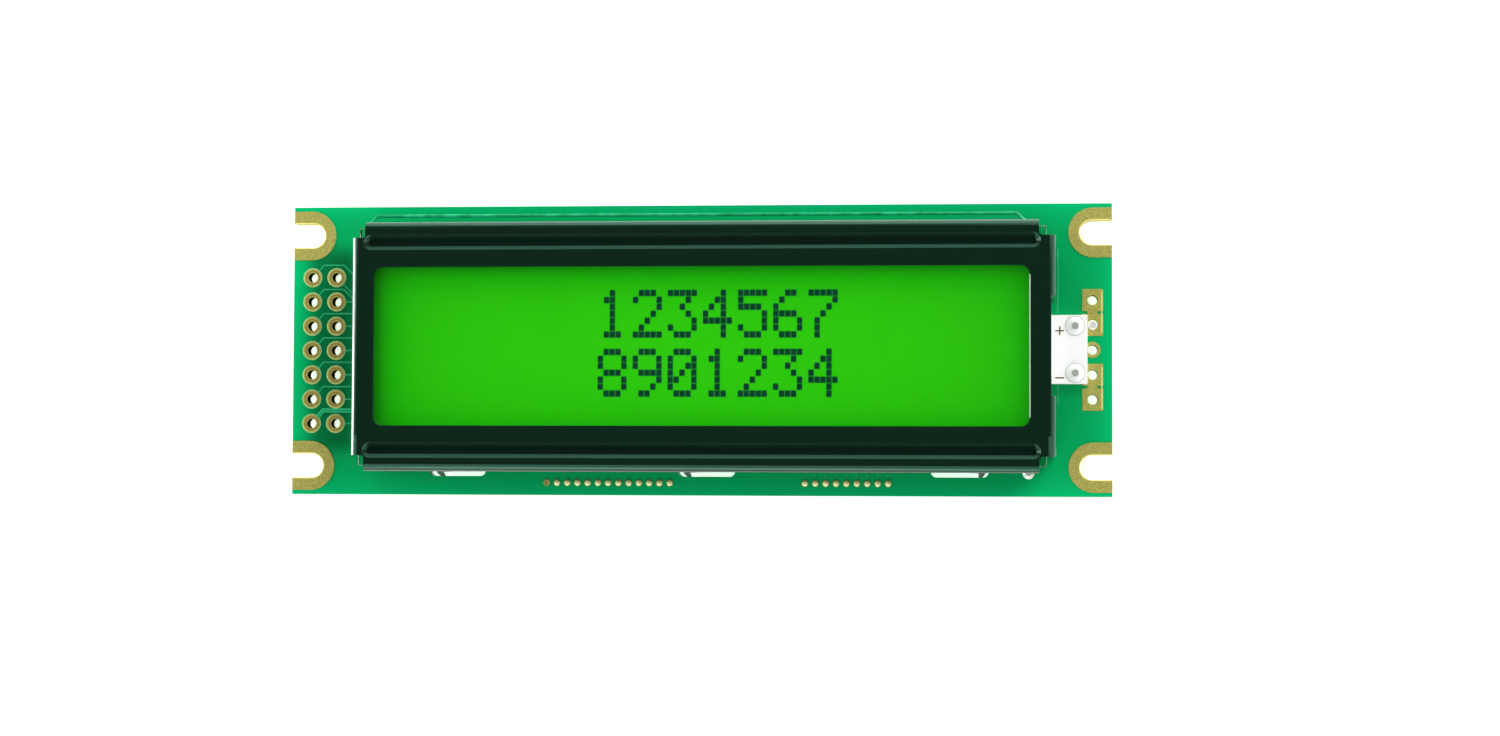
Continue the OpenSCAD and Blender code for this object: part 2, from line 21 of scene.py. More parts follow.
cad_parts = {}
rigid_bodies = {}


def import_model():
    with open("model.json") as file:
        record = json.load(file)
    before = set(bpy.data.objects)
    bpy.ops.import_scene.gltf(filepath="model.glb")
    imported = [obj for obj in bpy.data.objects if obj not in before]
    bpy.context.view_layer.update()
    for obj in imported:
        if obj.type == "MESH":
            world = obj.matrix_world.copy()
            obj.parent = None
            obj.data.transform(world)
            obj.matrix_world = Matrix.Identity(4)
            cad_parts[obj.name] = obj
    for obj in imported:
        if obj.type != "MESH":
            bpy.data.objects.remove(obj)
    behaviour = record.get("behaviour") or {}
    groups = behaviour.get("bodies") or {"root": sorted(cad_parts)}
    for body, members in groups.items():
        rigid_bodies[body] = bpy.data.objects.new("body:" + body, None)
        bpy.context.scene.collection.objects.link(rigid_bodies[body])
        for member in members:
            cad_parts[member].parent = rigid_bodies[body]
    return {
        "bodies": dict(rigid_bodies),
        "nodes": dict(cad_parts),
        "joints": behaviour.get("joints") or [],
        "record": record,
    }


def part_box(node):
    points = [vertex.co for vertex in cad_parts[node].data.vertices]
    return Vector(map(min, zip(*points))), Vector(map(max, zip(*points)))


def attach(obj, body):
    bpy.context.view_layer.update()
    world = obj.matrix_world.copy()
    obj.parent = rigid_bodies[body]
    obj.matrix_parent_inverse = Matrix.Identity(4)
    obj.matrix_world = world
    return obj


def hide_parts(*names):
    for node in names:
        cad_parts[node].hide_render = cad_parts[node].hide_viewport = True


LOG = logging.getLogger("module")
MM = 0.001
BODY = "root"

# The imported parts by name, filled in once the frame is loaded.
PARTS: dict[str, bpy.types.Object] = {}

# Most of a noise texture's values lie between these two.
NOISE_LOW, NOISE_HIGH = 0.3, 0.7
NOISE_DETAIL = 3.0
NOISE_ROUGHNESS = 0.55
# From crest to crest of a wave texture whose scale is 1.
WAVE_STEP = math.tau / 20
# The level of reflection that the surface shader starts with.
PLAIN_SPECULAR = 0.5
# A finish with more metal than this keeps the shader's own IOR.
METAL_FROM = 0.5
SMOOTHEST = 0.02
# A colour ramp starts with this many stops.
FIRST_STOPS = 2

# Points closer than this are one point, and faces that turn less than this are one flat.
WELD_MM = 0.0005
FLAT_DEG = 0.5
SHARP_DEG = 35
RING_STEPS = 48
RIDGE_STEPS = 2

# Low X, low Y, high X and high Y, in metres.
Patch = tuple[float, float, float, float]
# The points along a track and its width, in metres.
Route = tuple[list[Vector], float]


class Face(Enum):
    """The two faces of the board."""

    FRONT = "front"
    BACK = "back"


# ---------------------------------------------------------------------------------------------
# Shader helpers
# ---------------------------------------------------------------------------------------------


def linear(hex_colour: str) -> tuple[float, float, float, float]:
    """Turns an sRGB hex colour into linear values, by the sRGB standard's own curve.

    Args:
        hex_colour: Six hex digits after a hash sign.

    Returns:
        Red, green and blue, all linear, and an alpha of 1.
    """
    parts = [int(hex_colour[i : i + 2], 16) / 255 for i in (1, 3, 5)]
    low = [p / 12.92 if p <= 0.04045 else ((p + 0.055) / 1.055) ** 2.4 for p in parts]
    return (low[0], low[1], low[2], 1.0)


def add_node(
    tree: bpy.types.NodeTree, kind: str, inputs: dict | None = None, **settings: object
) -> bpy.types.Node:
    """Adds one node to a tree with its settings, values and links.

    Args:
        tree: The node tree.
        kind: The node's Blender type.
        inputs: Socket name or number to a value, or to an output socket to link from.
        settings: Properties of the node itself.

    Returns:
        The new node.
    """
    node = tree.nodes.new(kind)
    for name, value in settings.items():
        setattr(node, name, value)
    for key, value in (inputs or {}).items():
        if isinstance(value, bpy.types.NodeSocket):
            tree.links.new(value, node.inputs[key])
        else:
            node.inputs[key].default_value = value
    return node


@dataclass(frozen=True)
class Finish:
    """A real material, and how its surface was made.

    The base colour drifts towards the fleck colour in a fine noise, whose grain is given in
    millimetres, and the same noise breaks up the gloss and raises a slight relief.
    """

    name: str
    base: str
    fleck: str
    roughness: float
    grain_mm: float = 1.0
    fleck_share: float = 0.3
    gloss_spread: float = 0.08
    relief_mm: float = 0.004
    metallic: float = 0.0
    ior: float = 1.5
    transmission: float = 0.0

    def build(self) -> bpy.types.Material:
        """Makes the Blender material.

        Returns:
            The new material.
        """
        material = bpy.data.materials.new(self.name)
        material.use_nodes = True
        tree = material.node_tree
        tree.nodes.clear()
        point = add_node(tree, "ShaderNodeTexCoord").outputs["Object"]
        shader = add_node(
            tree,
            "ShaderNodeBsdfPrincipled",
            {"Metallic": self.metallic, "Transmission Weight": self.transmission},
        )
        if self.metallic < METAL_FROM:
            shader.inputs["IOR"].default_value = self.ior
        self.dress(tree, shader, point)
        add_node(tree, "ShaderNodeOutputMaterial", {"Surface": shader.outputs["BSDF"]})
        return material

    def dress(self, tree: bpy.types.NodeTree, shader: bpy.types.Node, point: object) -> None:
        """Links the finish's pattern to its shader.

        Args:
            tree: The material's node tree.
            shader: The surface shader.
            point: The socket with the point on the surface, in metres.
        """
        grain = self.noise(tree, point, self.grain_mm)
        tree.links.new(self.colour(tree, grain, point), shader.inputs["Base Color"])
        tree.links.new(self.gloss(tree, grain), shader.inputs["Roughness"])
        tree.links.new(self.relief(tree, grain), shader.inputs["Normal"])

    def noise(self, tree: bpy.types.NodeTree, point: object, grain_mm: float) -> object:
        """Adds a fine noise.

        Args:
            tree: The material's node tree.
            point: The socket with the point on the surface, in metres.
            grain_mm: The size of the noise's lumps.

        Returns:
            The socket with the noise's value.
        """
        inputs = {
            "Vector": point,
            "Scale": 1 / (grain_mm * MM),
            "Detail": NOISE_DETAIL,
            "Roughness": NOISE_ROUGHNESS,
        }
        return add_node(tree, "ShaderNodeTexNoise", inputs).outputs["Fac"]

    def colour(self, tree: bpy.types.NodeTree, grain: object, point: object) -> object:
        """Returns the base colour, drifting towards the fleck colour with the grain."""
        share = self.ranged(tree, grain, 0.0, self.fleck_share)
        return self.blend(tree, share, linear(self.base), linear(self.fleck))

    def gloss(self, tree: bpy.types.NodeTree, grain: object) -> object:
        """Returns the roughness, a little above and below its middle value."""
        low = max(SMOOTHEST, self.roughness - self.gloss_spread)
        return self.ranged(tree, grain, low, self.roughness + self.gloss_spread)

    def relief(self, tree: bpy.types.NodeTree, grain: object) -> object:
        """Returns a normal raised by the grain."""
        inputs = {"Height": grain, "Distance": self.relief_mm * MM, "Strength": 1.0}
        return add_node(tree, "ShaderNodeBump", inputs).outputs["Normal"]

    @staticmethod
    def ranged(tree: bpy.types.NodeTree, value: object, low: float, high: float) -> object:
        """Stretches a noise value from its usual range onto another.

        Args:
            tree: The material's node tree.
            value: The socket with the noise's value.
            low: The new low end.
            high: The new high end.

        Returns:
            The socket with the stretched value.
        """
        inputs = {
            "Value": value,
            "From Min": NOISE_LOW,
            "From Max": NOISE_HIGH,
            "To Min": low,
            "To Max": high,
        }
        return add_node(tree, "ShaderNodeMapRange", inputs).outputs["Result"]

    @staticmethod
    def blend(tree: bpy.types.NodeTree, share: object, first: object, second: object) -> object:
        """Returns the mix of two colours."""
        inputs = {0: share, 6: first, 7: second}
        return add_node(tree, "ShaderNodeMix", inputs, data_type="RGBA").outputs[2]

    @staticmethod
    def math(tree: bpy.types.NodeTree, operation: str, *values: object) -> object:
        """Returns the result of one sum on one or more values."""
        inputs = dict(enumerate(values))
        return add_node(tree, "ShaderNodeMath", inputs, operation=operation).outputs[0]


@dataclass(frozen=True)
class SolderMask(Finish):
    """Green lacquer over glass cloth and resin: the cloth's weave shows faintly through it, the
    thin laminate lets light in near its edges, the sawn edges show the laminate itself, and it is
    darker in a patch round the header."""

    rim: str = "#04c376"
    rim_fall_mm: float = 1.3
    edge: str = "#a9b36b"
    edge_tilt: float = 0.5
    outline: tuple[float, float] = (0.0, 0.0)
    weave_mm: float = 0.42
    weave_wander: float = 1.5
    grain_weight: float = 2.0
    # A darker colour over a patch round the header, softened at its edge.
    patched: str = "#036a38"
    dark_patch: Patch = (0.0, 0.0, 0.0, 0.0)
    dark_soft_mm: float = 1.3

    def colour(self, tree: bpy.types.NodeTree, grain: object, point: object) -> object:
        """Mixes the mask's greens, and the laminate's colour on the sawn edges.

        Args:
            tree: The material's node tree.
            grain: The socket with the grain's noise.
            point: The socket with the point on the surface, in metres.

        Returns:
            The socket with the colour.
        """
        green = super().colour(tree, grain, point)
        green = self.blend(tree, self.in_dark_patch(tree, point), green, linear(self.patched))
        green = self.blend(tree, self.near_rim(tree, point), green, linear(self.rim))
        normal = add_node(tree, "ShaderNodeNewGeometry").outputs["Normal"]
        upright = add_node(tree, "ShaderNodeSeparateXYZ", {0: normal}).outputs["Z"]
        level = self.math(tree, "ABSOLUTE", upright)
        flat = self.math(tree, "GREATER_THAN", level, self.edge_tilt)
        return self.blend(tree, flat, linear(self.edge), green)

    def in_dark_patch(self, tree: bpy.types.NodeTree, point: object) -> object:
        """Finds the patch round the header where the mask is made darker.

        Args:
            tree: The material's node tree.
            point: The socket with the point on the surface, in metres.

        Returns:
            A socket that is 1 there and falls softly to 0 round it.
        """
        low_x, low_y, high_x, high_y = self.dark_patch
        soft = self.dark_soft_mm * MM
        place = add_node(tree, "ShaderNodeSeparateXYZ", {0: point})
        shares = []
        for axis, low, high in (("X", low_x, high_x), ("Y", low_y, high_y)):
            offset = self.math(tree, "SUBTRACT", place.outputs[axis], (low + high) / 2)
            inputs = {
                "Value": self.math(tree, "ABSOLUTE", offset),
                "From Min": (high - low) / 2 - soft,
                "From Max": (high - low) / 2 + soft,
                "To Min": 1.0,
                "To Max": 0.0,
            }
            node = add_node(tree, "ShaderNodeMapRange", inputs, interpolation_type="SMOOTHSTEP")
            shares.append(node.outputs["Result"])
        return self.math(tree, "MULTIPLY", shares[0], shares[1])

    def near_rim(self, tree: bpy.types.NodeTree, point: object) -> object:
        """Finds how much of the light that enters at the board's outline reaches a point.

        Args:
            tree: The material's node tree.
            point: The socket with the point on the surface, in metres.

        Returns:
            A socket that is 1 at the outline and falls to 0 a little way in.
        """
        place = add_node(tree, "ShaderNodeSeparateXYZ", {0: point})
        depths = [
            self.math(tree, "SUBTRACT", half, self.math(tree, "ABSOLUTE", place.outputs[axis]))
            for axis, half in zip("XY", self.outline)
        ]
        depth = self.math(tree, "MINIMUM", depths[0], depths[1])
        power = self.math(tree, "MULTIPLY", depth, -1 / (self.rim_fall_mm * MM))
        return self.math(tree, "MINIMUM", self.math(tree, "EXPONENT", power), 1.0)

    def relief(self, tree: bpy.types.NodeTree, grain: object) -> object:
        """Raises the surface by the two crossing thread directions and by the grain.

        Args:
            tree: The material's node tree.
            grain: The socket with the grain's noise.

        Returns:
            The socket with the raised normal.
        """
        point = add_node(tree, "ShaderNodeTexCoord").outputs["Object"]
        inputs = {
            "Vector": point,
            "Scale": WAVE_STEP / (self.weave_mm * MM),
            "Distortion": self.weave_wander,
        }
        threads = [
            add_node(tree, "ShaderNodeTexWave", inputs, bands_direction=way).outputs["Fac"]
            for way in ("X", "Y")
        ]
        cloth = self.math(tree, "MULTIPLY", threads[0], threads[1])
        lumps = self.math(tree, "MULTIPLY", grain, self.grain_weight)
        height = self.math(tree, "ADD", cloth, lumps)
        return super().relief(tree, height)


@dataclass(frozen=True)
class Lacquer(Finish):
    """Black stoving lacquer on steel strip, with near-white painted highlights along some edges,
    painted light on the twisted tabs, and a paler painted sheen on the slopes and crests of its
    bends."""

    # The near-white of the painted highlights and of the painted light on the tabs, and its metal
    # share.
    steel: str = "#fbfcfb"
    patch_metallic: float = 0.4
    # Painted sheen: the paler colour on the slopes and crests of the bends.
    painted_bend_sheen: str = "#2e5043"
    sheen: str = "#8fd8b8"
    slope_from: float = 0.3
    slope_to: float = 0.7
    crest_tilt: float = -0.4
    crest_spread: float = 0.3
    # Where the painted highlights and the painted light on the tabs go.
    highlight_patches: tuple[Patch, ...] = ()
    tab_light_patches: tuple[Patch, ...] = ()
    plain_half: float = 0.0
    face_z: float = 0.0

    def dress(self, tree: bpy.types.NodeTree, shader: bpy.types.Node, point: object) -> None:
        """Links the lacquer's pattern, its painted sheen, and its painted highlights and painted
        light in near-white.

        Args:
            tree: The material's node tree.
            shader: The surface shader.
            point: The socket with the point on the surface, in metres.
        """
        grain = self.noise(tree, point, self.grain_mm)
        colour = self.colour(tree, grain, point)
        height = add_node(tree, "ShaderNodeSeparateXYZ", {0: point}).outputs["Z"]
        face = self.math(tree, "GREATER_THAN", height, self.face_z)
        # Painted sheen: paler lacquer on the slopes and crests of the bends.
        painted_bend_sheen = self.math(tree, "MULTIPLY", self.bend(tree, point), face)
        colour = self.blend(tree, painted_bend_sheen, colour, linear(self.painted_bend_sheen))
        # Painted highlights along the left fold and the window's right edge, and painted light on
        # the tabs, in near-white with some metal.
        highlight_patches = self.math(tree, "MULTIPLY", self.within(tree, point, self.highlight_patches), face)
        patched = self.math(tree, "MAXIMUM", highlight_patches, self.within(tree, point, self.tab_light_patches))
        colour = self.blend(tree, patched, colour, linear(self.steel))
        metal = self.math(tree, "MULTIPLY", patched, self.patch_metallic)
        tree.links.new(colour, shader.inputs["Base Color"])
        tree.links.new(metal, shader.inputs["Metallic"])
        tree.links.new(self.gloss(tree, grain), shader.inputs["Roughness"])
        tree.links.new(self.relief(tree, grain), shader.inputs["Normal"])
        shader.inputs["Specular Tint"].default_value = linear(self.sheen)

    def bend(self, tree: bpy.types.NodeTree, point: object) -> object:
        """Finds where the painted sheen goes: the slopes that face the right and far sides, and
        the crests of the other bends, beyond the plain face round the window.

        Args:
            tree: The material's node tree.
            point: The socket with the point on the surface, in metres.

        Returns:
            A socket that is 1 there and 0 on the flats.
        """
        normal = add_node(tree, "ShaderNodeNewGeometry").outputs["Normal"]
        way = add_node(tree, "ShaderNodeSeparateXYZ", {0: normal})
        place = add_node(tree, "ShaderNodeSeparateXYZ", {0: point})
        right = self.math(tree, "GREATER_THAN", place.outputs["X"], 0.0)
        aside = self.math(tree, "MULTIPLY", way.outputs["X"], right)
        tilt = self.math(tree, "MAXIMUM", aside, way.outputs["Y"])
        inputs = {"Value": tilt, "From Min": self.slope_from, "From Max": self.slope_to}
        slope = add_node(tree, "ShaderNodeMapRange", inputs).outputs["Result"]
        crest = self.math(
            tree, "COMPARE", way.outputs["Y"], self.crest_tilt, self.crest_spread
        )
        reach = self.math(tree, "ABSOLUTE", place.outputs["Y"])
        beyond = self.math(tree, "GREATER_THAN", reach, self.plain_half)
        return self.math(tree, "MAXIMUM", slope, self.math(tree, "MULTIPLY", crest, beyond))

    def within(self, tree: bpy.types.NodeTree, point: object, patches: Iterable[Patch]) -> object:
        """Finds whether a point lies within any of some patches.

        Args:
            tree: The material's node tree.
            point: The socket with the point on the surface, in metres.
            patches: The patches of the XY plane.

        Returns:
            A socket that is 1 within them and 0 elsewhere.
        """
        share: object = 0.0
        for patch in patches:
            share = self.math(tree, "MAXIMUM", share, self.inside(tree, point, patch))
        return share

    def inside(self, tree: bpy.types.NodeTree, point: object, patch: Patch) -> object:
        """Finds whether a point lies within one patch.

        Args:
            tree: The material's node tree.
            point: The socket with the point on the surface, in metres.
            patch: The patch of the XY plane.

        Returns:
            A socket that is 1 within it and 0 elsewhere.
        """
        low_x, low_y, high_x, high_y = patch
        place = add_node(tree, "ShaderNodeSeparateXYZ", {0: point})
        near = []
        for axis, low, high in (("X", low_x, high_x), ("Y", low_y, high_y)):
            offset = self.math(tree, "SUBTRACT", place.outputs[axis], (low + high) / 2)
            distance = self.math(tree, "ABSOLUTE", offset)
            near.append(self.math(tree, "LESS_THAN", distance, (high - low) / 2))
        return self.math(tree, "MULTIPLY", near[0], near[1])


@dataclass(frozen=True)
class PlatedLand(Finish):
    """Gold-flashed copper, with painted shade on the drilled wall between its two faces."""

    # Painted shade: the colour of the drilled wall inside the hole.
    wall: str = "#1c1608"
    wall_z: tuple[float, float] = (0.0, 0.0)

    def dress(self, tree: bpy.types.NodeTree, shader: bpy.types.Node, point: object) -> None:
        """Links the gold's pattern, and paints shade on the wall between the faces: dark and matt.

        Args:
            tree: The material's node tree.
            shader: The surface shader.
            point: The socket with the point on the surface, in metres.
        """
        super().dress(tree, shader, point)
        height = add_node(tree, "ShaderNodeSeparateXYZ", {0: point}).outputs["Z"]
        low, high = self.wall_z
        # Painted shade: the drilled wall inside the hole is made dark and matt.
        wall = self.math(tree, "COMPARE", height, (low + high) / 2, (high - low) / 2)
        face = self.math(tree, "SUBTRACT", 1.0, wall)
        gold = shader.inputs["Base Color"].links[0].from_socket
        colour = self.blend(tree, face, linear(self.wall), gold)
        tree.links.new(colour, shader.inputs["Base Color"])
        for name, level in (("Metallic", self.metallic), ("Specular IOR Level", PLAIN_SPECULAR)):
            tree.links.new(self.math(tree, "MULTIPLY", face, level), shader.inputs[name])


@dataclass(frozen=True)
class LitSheet(Finish):
    """A pale sheet or coat with light coming through it."""

    glow: float = 0.6

    def dress(self, tree: bpy.types.NodeTree, shader: bpy.types.Node, point: object) -> None:
        """Links the grain, and sets how much light comes through.

        Args:
            tree: The material's node tree.
            shader: The surface shader.
            point: The socket with the point on the surface, in metres.
        """
        super().dress(tree, shader, point)
        shader.inputs["Emission Color"].default_value = linear(self.base)
        shader.inputs["Emission Strength"].default_value = self.glow


@dataclass(frozen=True)
class LayeredRubber(Finish):
    """Silicone rubber with thin carbon-filled layers across it, which shows as fine stripes."""

    layer_mm: float = 0.18

    def colour(self, tree: bpy.types.NodeTree, grain: object, point: object) -> object:
        """Mixes stripes along X from the base and fleck colours.

        Args:
            tree: The material's node tree.
            grain: The socket with the grain's noise, which the stripes don't need.
            point: The socket with the point on the surface, in metres.

        Returns:
            The socket with the colour.
        """
        inputs = {"Vector": point, "Scale": WAVE_STEP / (self.layer_mm * MM)}
        stripes = add_node(tree, "ShaderNodeTexWave", inputs, bands_direction="X").outputs["Fac"]
        return self.blend(tree, stripes, linear(self.base), linear(self.fleck))


@dataclass(frozen=True)
class LitLayer(Finish):
    """Liquid crystal lit from behind: even in the middle, and dimmer and deeper in colour towards
    the edges of the window, partly where the light box ends and partly by painted shade of the
    frame, which differs from side to side."""

    glow: float = 1.0
    window: Patch = (0.0, 0.0, 0.0, 0.0)
    grain_levels: tuple[float, float] = (0.975, 1.02)
    near_fall_mm: float = 1.25
    # Close to the left, right, near and far edges: light lost where the light box ends, with
    # painted shade of the frame.
    near_loss_and_shade: tuple[float, float, float, float] = (0.5, 0.28, 0.16, 0.46)
    far_fall_mm: float = 7.0
    far_loss: float = 0.2
    stops: tuple[tuple[float, str], ...] = (
        (0.0, "#000500"),
        (0.33, "#0f7804"),
        (0.63, "#18a202"),
        (0.89, "#2cbf02"),
        (1.0, "#40cb04"),
    )

    def dress(self, tree: bpy.types.NodeTree, shader: bpy.types.Node, point: object) -> None:
        """Links the glow's colour to the emission, with a faint grain in it.

        Args:
            tree: The material's node tree.
            shader: The surface shader.
            point: The socket with the point on the surface, in metres.
        """
        grain = self.ranged(tree, self.noise(tree, point, self.grain_mm), *self.grain_levels)
        level = self.math(tree, "MULTIPLY", self.level(tree, point), grain)
        ramp = add_node(tree, "ShaderNodeValToRGB", {"Fac": level})
        stops = ramp.color_ramp.elements
        for place, (level_at, colour) in enumerate(self.stops):
            stop = stops[place] if place < FIRST_STOPS else stops.new(level_at)
            stop.position = level_at
            stop.color = linear(colour)
        tree.links.new(ramp.outputs["Color"], shader.inputs["Emission Color"])
        shader.inputs["Emission Strength"].default_value = self.glow
        shader.inputs["Base Color"].default_value = linear(self.base)
        shader.inputs["Roughness"].default_value = self.roughness

    def level(self, tree: bpy.types.NodeTree, point: object) -> object:
        """Finds the light level, which each side of the window lowers in two stages.

        Args:
            tree: The material's node tree.
            point: The socket with the point on the surface, in metres.

        Returns:
            The socket with the level.
        """
        low_x, low_y, high_x, high_y = self.window
        place = add_node(tree, "ShaderNodeSeparateXYZ", {0: point})
        level: object = 1.0
        sides = (("X", low_x, 1.0), ("X", high_x, -1.0), ("Y", low_y, 1.0), ("Y", high_y, -1.0))
        for (axis, edge, sign), loss in zip(sides, self.near_loss_and_shade):
            inward = self.math(tree, "SUBTRACT", place.outputs[axis], edge)
            depth = self.math(tree, "MAXIMUM", self.math(tree, "MULTIPLY", inward, sign), 0.0)
            level = self.math(tree, "MULTIPLY", level, self.side(tree, depth, loss))
        return level

    def side(self, tree: bpy.types.NodeTree, depth: object, near_loss_and_shade: float) -> object:
        """Finds the share of the light that is left at a depth inside one edge.

        Args:
            tree: The material's node tree.
            depth: The socket with the depth, in metres.
            near_loss_and_shade: The share that is lost close to the edge, with the painted shade
                of the frame.

        Returns:
            The socket with the share.
        """
        losses = []
        for loss, fall in ((near_loss_and_shade, self.near_fall_mm), (self.far_loss, self.far_fall_mm)):
            power = self.math(tree, "MULTIPLY", depth, -1 / (fall * MM))
            losses.append(self.math(tree, "MULTIPLY", self.math(tree, "EXPONENT", power), loss))
        return self.math(tree, "SUBTRACT", self.math(tree, "SUBTRACT", 1.0, losses[0]), losses[1])


@dataclass(frozen=True)
class GlowingInk(Finish):
    """Something dark in front of the light, which lets a little of it through."""

    glow: float = 1.0
    unlit: str = "#000000"

    def dress(self, tree: bpy.types.NodeTree, shader: bpy.types.Node, point: object) -> None:
        """Links the grain to the emission, over a surface that reflects no colour.

        Args:
            tree: The material's node tree.
            shader: The surface shader.
            point: The socket with the point on the surface, in metres.
        """
        grain = self.noise(tree, point, self.grain_mm)
        tree.links.new(self.colour(tree, grain, point), shader.inputs["Emission Color"])
        tree.links.new(self.gloss(tree, grain), shader.inputs["Roughness"])
        tree.links.new(self.relief(tree, grain), shader.inputs["Normal"])
        shader.inputs["Emission Strength"].default_value = self.glow
        shader.inputs["Base Color"].default_value = linear(self.unlit)


# ---------------------------------------------------------------------------------------------
# Mesh helpers
# ---------------------------------------------------------------------------------------------


def place_mesh(
    name: str, shape: bmesh.types.BMesh, material: bpy.types.Material
) -> bpy.types.Object:
    """Turns a bmesh into a piece of the module.

    Args:
        name: The piece's name.
        shape: The mesh, in metres and in its place. It is freed.
        material: The piece's material.

    Returns:
        The new object, riding on the module.
    """
    bmesh.ops.recalc_face_normals(shape, faces=shape.faces)
    mesh = bpy.data.meshes.new(name)
    shape.to_mesh(mesh)
    shape.free()
    mesh.materials.append(material)
    piece = bpy.data.objects.new(name, mesh)
    bpy.context.scene.collection.objects.link(piece)
    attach(piece, BODY)
    LOG.info("piece %s: %d faces", name, len(mesh.polygons))
    return piece


def add_box(shape: bmesh.types.BMesh, low: Vector, high: Vector) -> None:
    """Adds a box between two corners.

    Args:
        shape: The mesh to add to.
        low: The lowest corner.
        high: The highest corner.
    """
    size = Matrix.Diagonal((*(high - low), 1.0))
    matrix = Matrix.Translation((low + high) / 2) @ size
    bmesh.ops.create_cube(shape, size=1.0, matrix=matrix)


def add_ring(
    shape: bmesh.types.BMesh, centre: Vector, inner: float, outer: float, height: float
) -> None:
    """Adds a flat ring, by spinning the outline of its section round Z.

    Args:
        shape: The mesh to add to.
        centre: The middle of the ring's foot.
        inner: The inner radius.
        outer: The outer radius.
        height: The height along Z.
    """
    middle = (inner + outer) / 2
    size = Matrix.Diagonal((outer - inner, 1.0, height, 1.0))
    turn = Matrix.Rotation(math.pi / 2, 4, "X")
    at = Matrix.Translation(centre + Vector((middle, 0.0, height / 2)))
    made = bmesh.ops.create_grid(
        shape, x_segments=1, y_segments=1, size=0.5, matrix=at @ size @ turn
    )
    section = list({edge for vert in made["verts"] for edge in vert.link_edges})
    flat = list({face for vert in made["verts"] for face in vert.link_faces})
    bmesh.ops.delete(shape, geom=flat, context="FACES_ONLY")
    bmesh.ops.spin(
        shape,
        geom=section,
        cent=centre,
        axis=(0.0, 0.0, 1.0),
        angle=math.tau,
        steps=RING_STEPS,
        use_merge=True,
    )


def soften(piece: bpy.types.Object, width_mm: float, segments: int = 2) -> None:
    """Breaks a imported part's sharp edges with live modifiers, which leave its mesh alone.

    Args:
        piece: The part.
        width_mm: The width of the broken edge.
        segments: The number of steps across it.
    """
    weld = piece.modifiers.new("weld", "WELD")
    weld.merge_threshold = WELD_MM * MM
    flats = piece.modifiers.new("flats", "DECIMATE")
    flats.decimate_type = "DISSOLVE"
    flats.angle_limit = math.radians(FLAT_DEG)
    bevel = piece.modifiers.new("edges", "BEVEL")
    bevel.width = width_mm * MM
    bevel.segments = segments
    bevel.limit_method = "ANGLE"
    bevel.angle_limit = math.radians(SHARP_DEG)
    bevel.harden_normals = True


def swap_material(node: str, material: bpy.types.Material) -> None:
    """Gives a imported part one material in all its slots.

    Args:
        node: The part's name.
        material: Its material.
    """
    piece = PARTS[node]
    if not piece.material_slots:
        piece.data.materials.append(material)
    for place in piece.material_slots:
        place.material = material
    LOG.info("part %s: %s", node, material.name)


def ridge(name: str, routes: Iterable[Route], squash: float) -> bmesh.types.BMesh:
    """Makes low rounded ridges along routes, such as tracks under a lacquer.

    Args:
        name: A name for the working curve.
        routes: Points of each route and the ridge's width there, in metres.
        squash: The ridge's height as a share of half its width.

    Returns:
        A bmesh with all the ridges, in its place.
    """
    shape = bmesh.new()
    for points, width in routes:
        curve = bpy.data.curves.new(name, "CURVE")
        curve.dimensions = "3D"
        curve.bevel_depth = width / 2
        curve.bevel_resolution = RIDGE_STEPS
        curve.use_fill_caps = True
        spline = curve.splines.new("POLY")
        spline.points.add(len(points) - 1)
        level = points[0].z
        for knot, point in zip(spline.points, points):
            knot.co = (point.x, point.y, 0.0, 1.0)
        maker = bpy.data.objects.new(name, curve)
        bpy.context.scene.collection.objects.link(maker)
        graph = bpy.context.evaluated_depsgraph_get()
        mesh = bpy.data.meshes.new_from_object(maker.evaluated_get(graph))
        mesh.transform(Matrix.Translation((0, 0, level)) @ Matrix.Diagonal((1, 1, squash, 1)))
        shape.from_mesh(mesh)
        bpy.data.objects.remove(maker)
        bpy.data.curves.remove(curve)
        bpy.data.meshes.remove(mesh)
    return shape


# ---------------------------------------------------------------------------------------------
# Sub-assemblies
# ---------------------------------------------------------------------------------------------

DIGITS = {
    "0": "01110 10001 10011 10101 11001 10001 01110",
    "1": "00100 01100 00100 00100 00100 00100 01110",
    "2": "01110 10001 00001 00010 00100 01000 11111",
    "3": "11111 00010 00100 00010 00001 10001 01110",
    "4": "00010 00110 01010 10010 11111 00010 00010",
    "5": "11111 10000 11110 00001 00001 10001 01110",
    "6": "00110 01000 10000 11110 10001 10001 01110",
    "7": "11111 00001 00010 00100 01000 01000 01000",
    "8": "01110 10001 10001 01110 10001 10001 01110",
    "9": "01110 10001 10001 01111 00001 00010 01100",
}


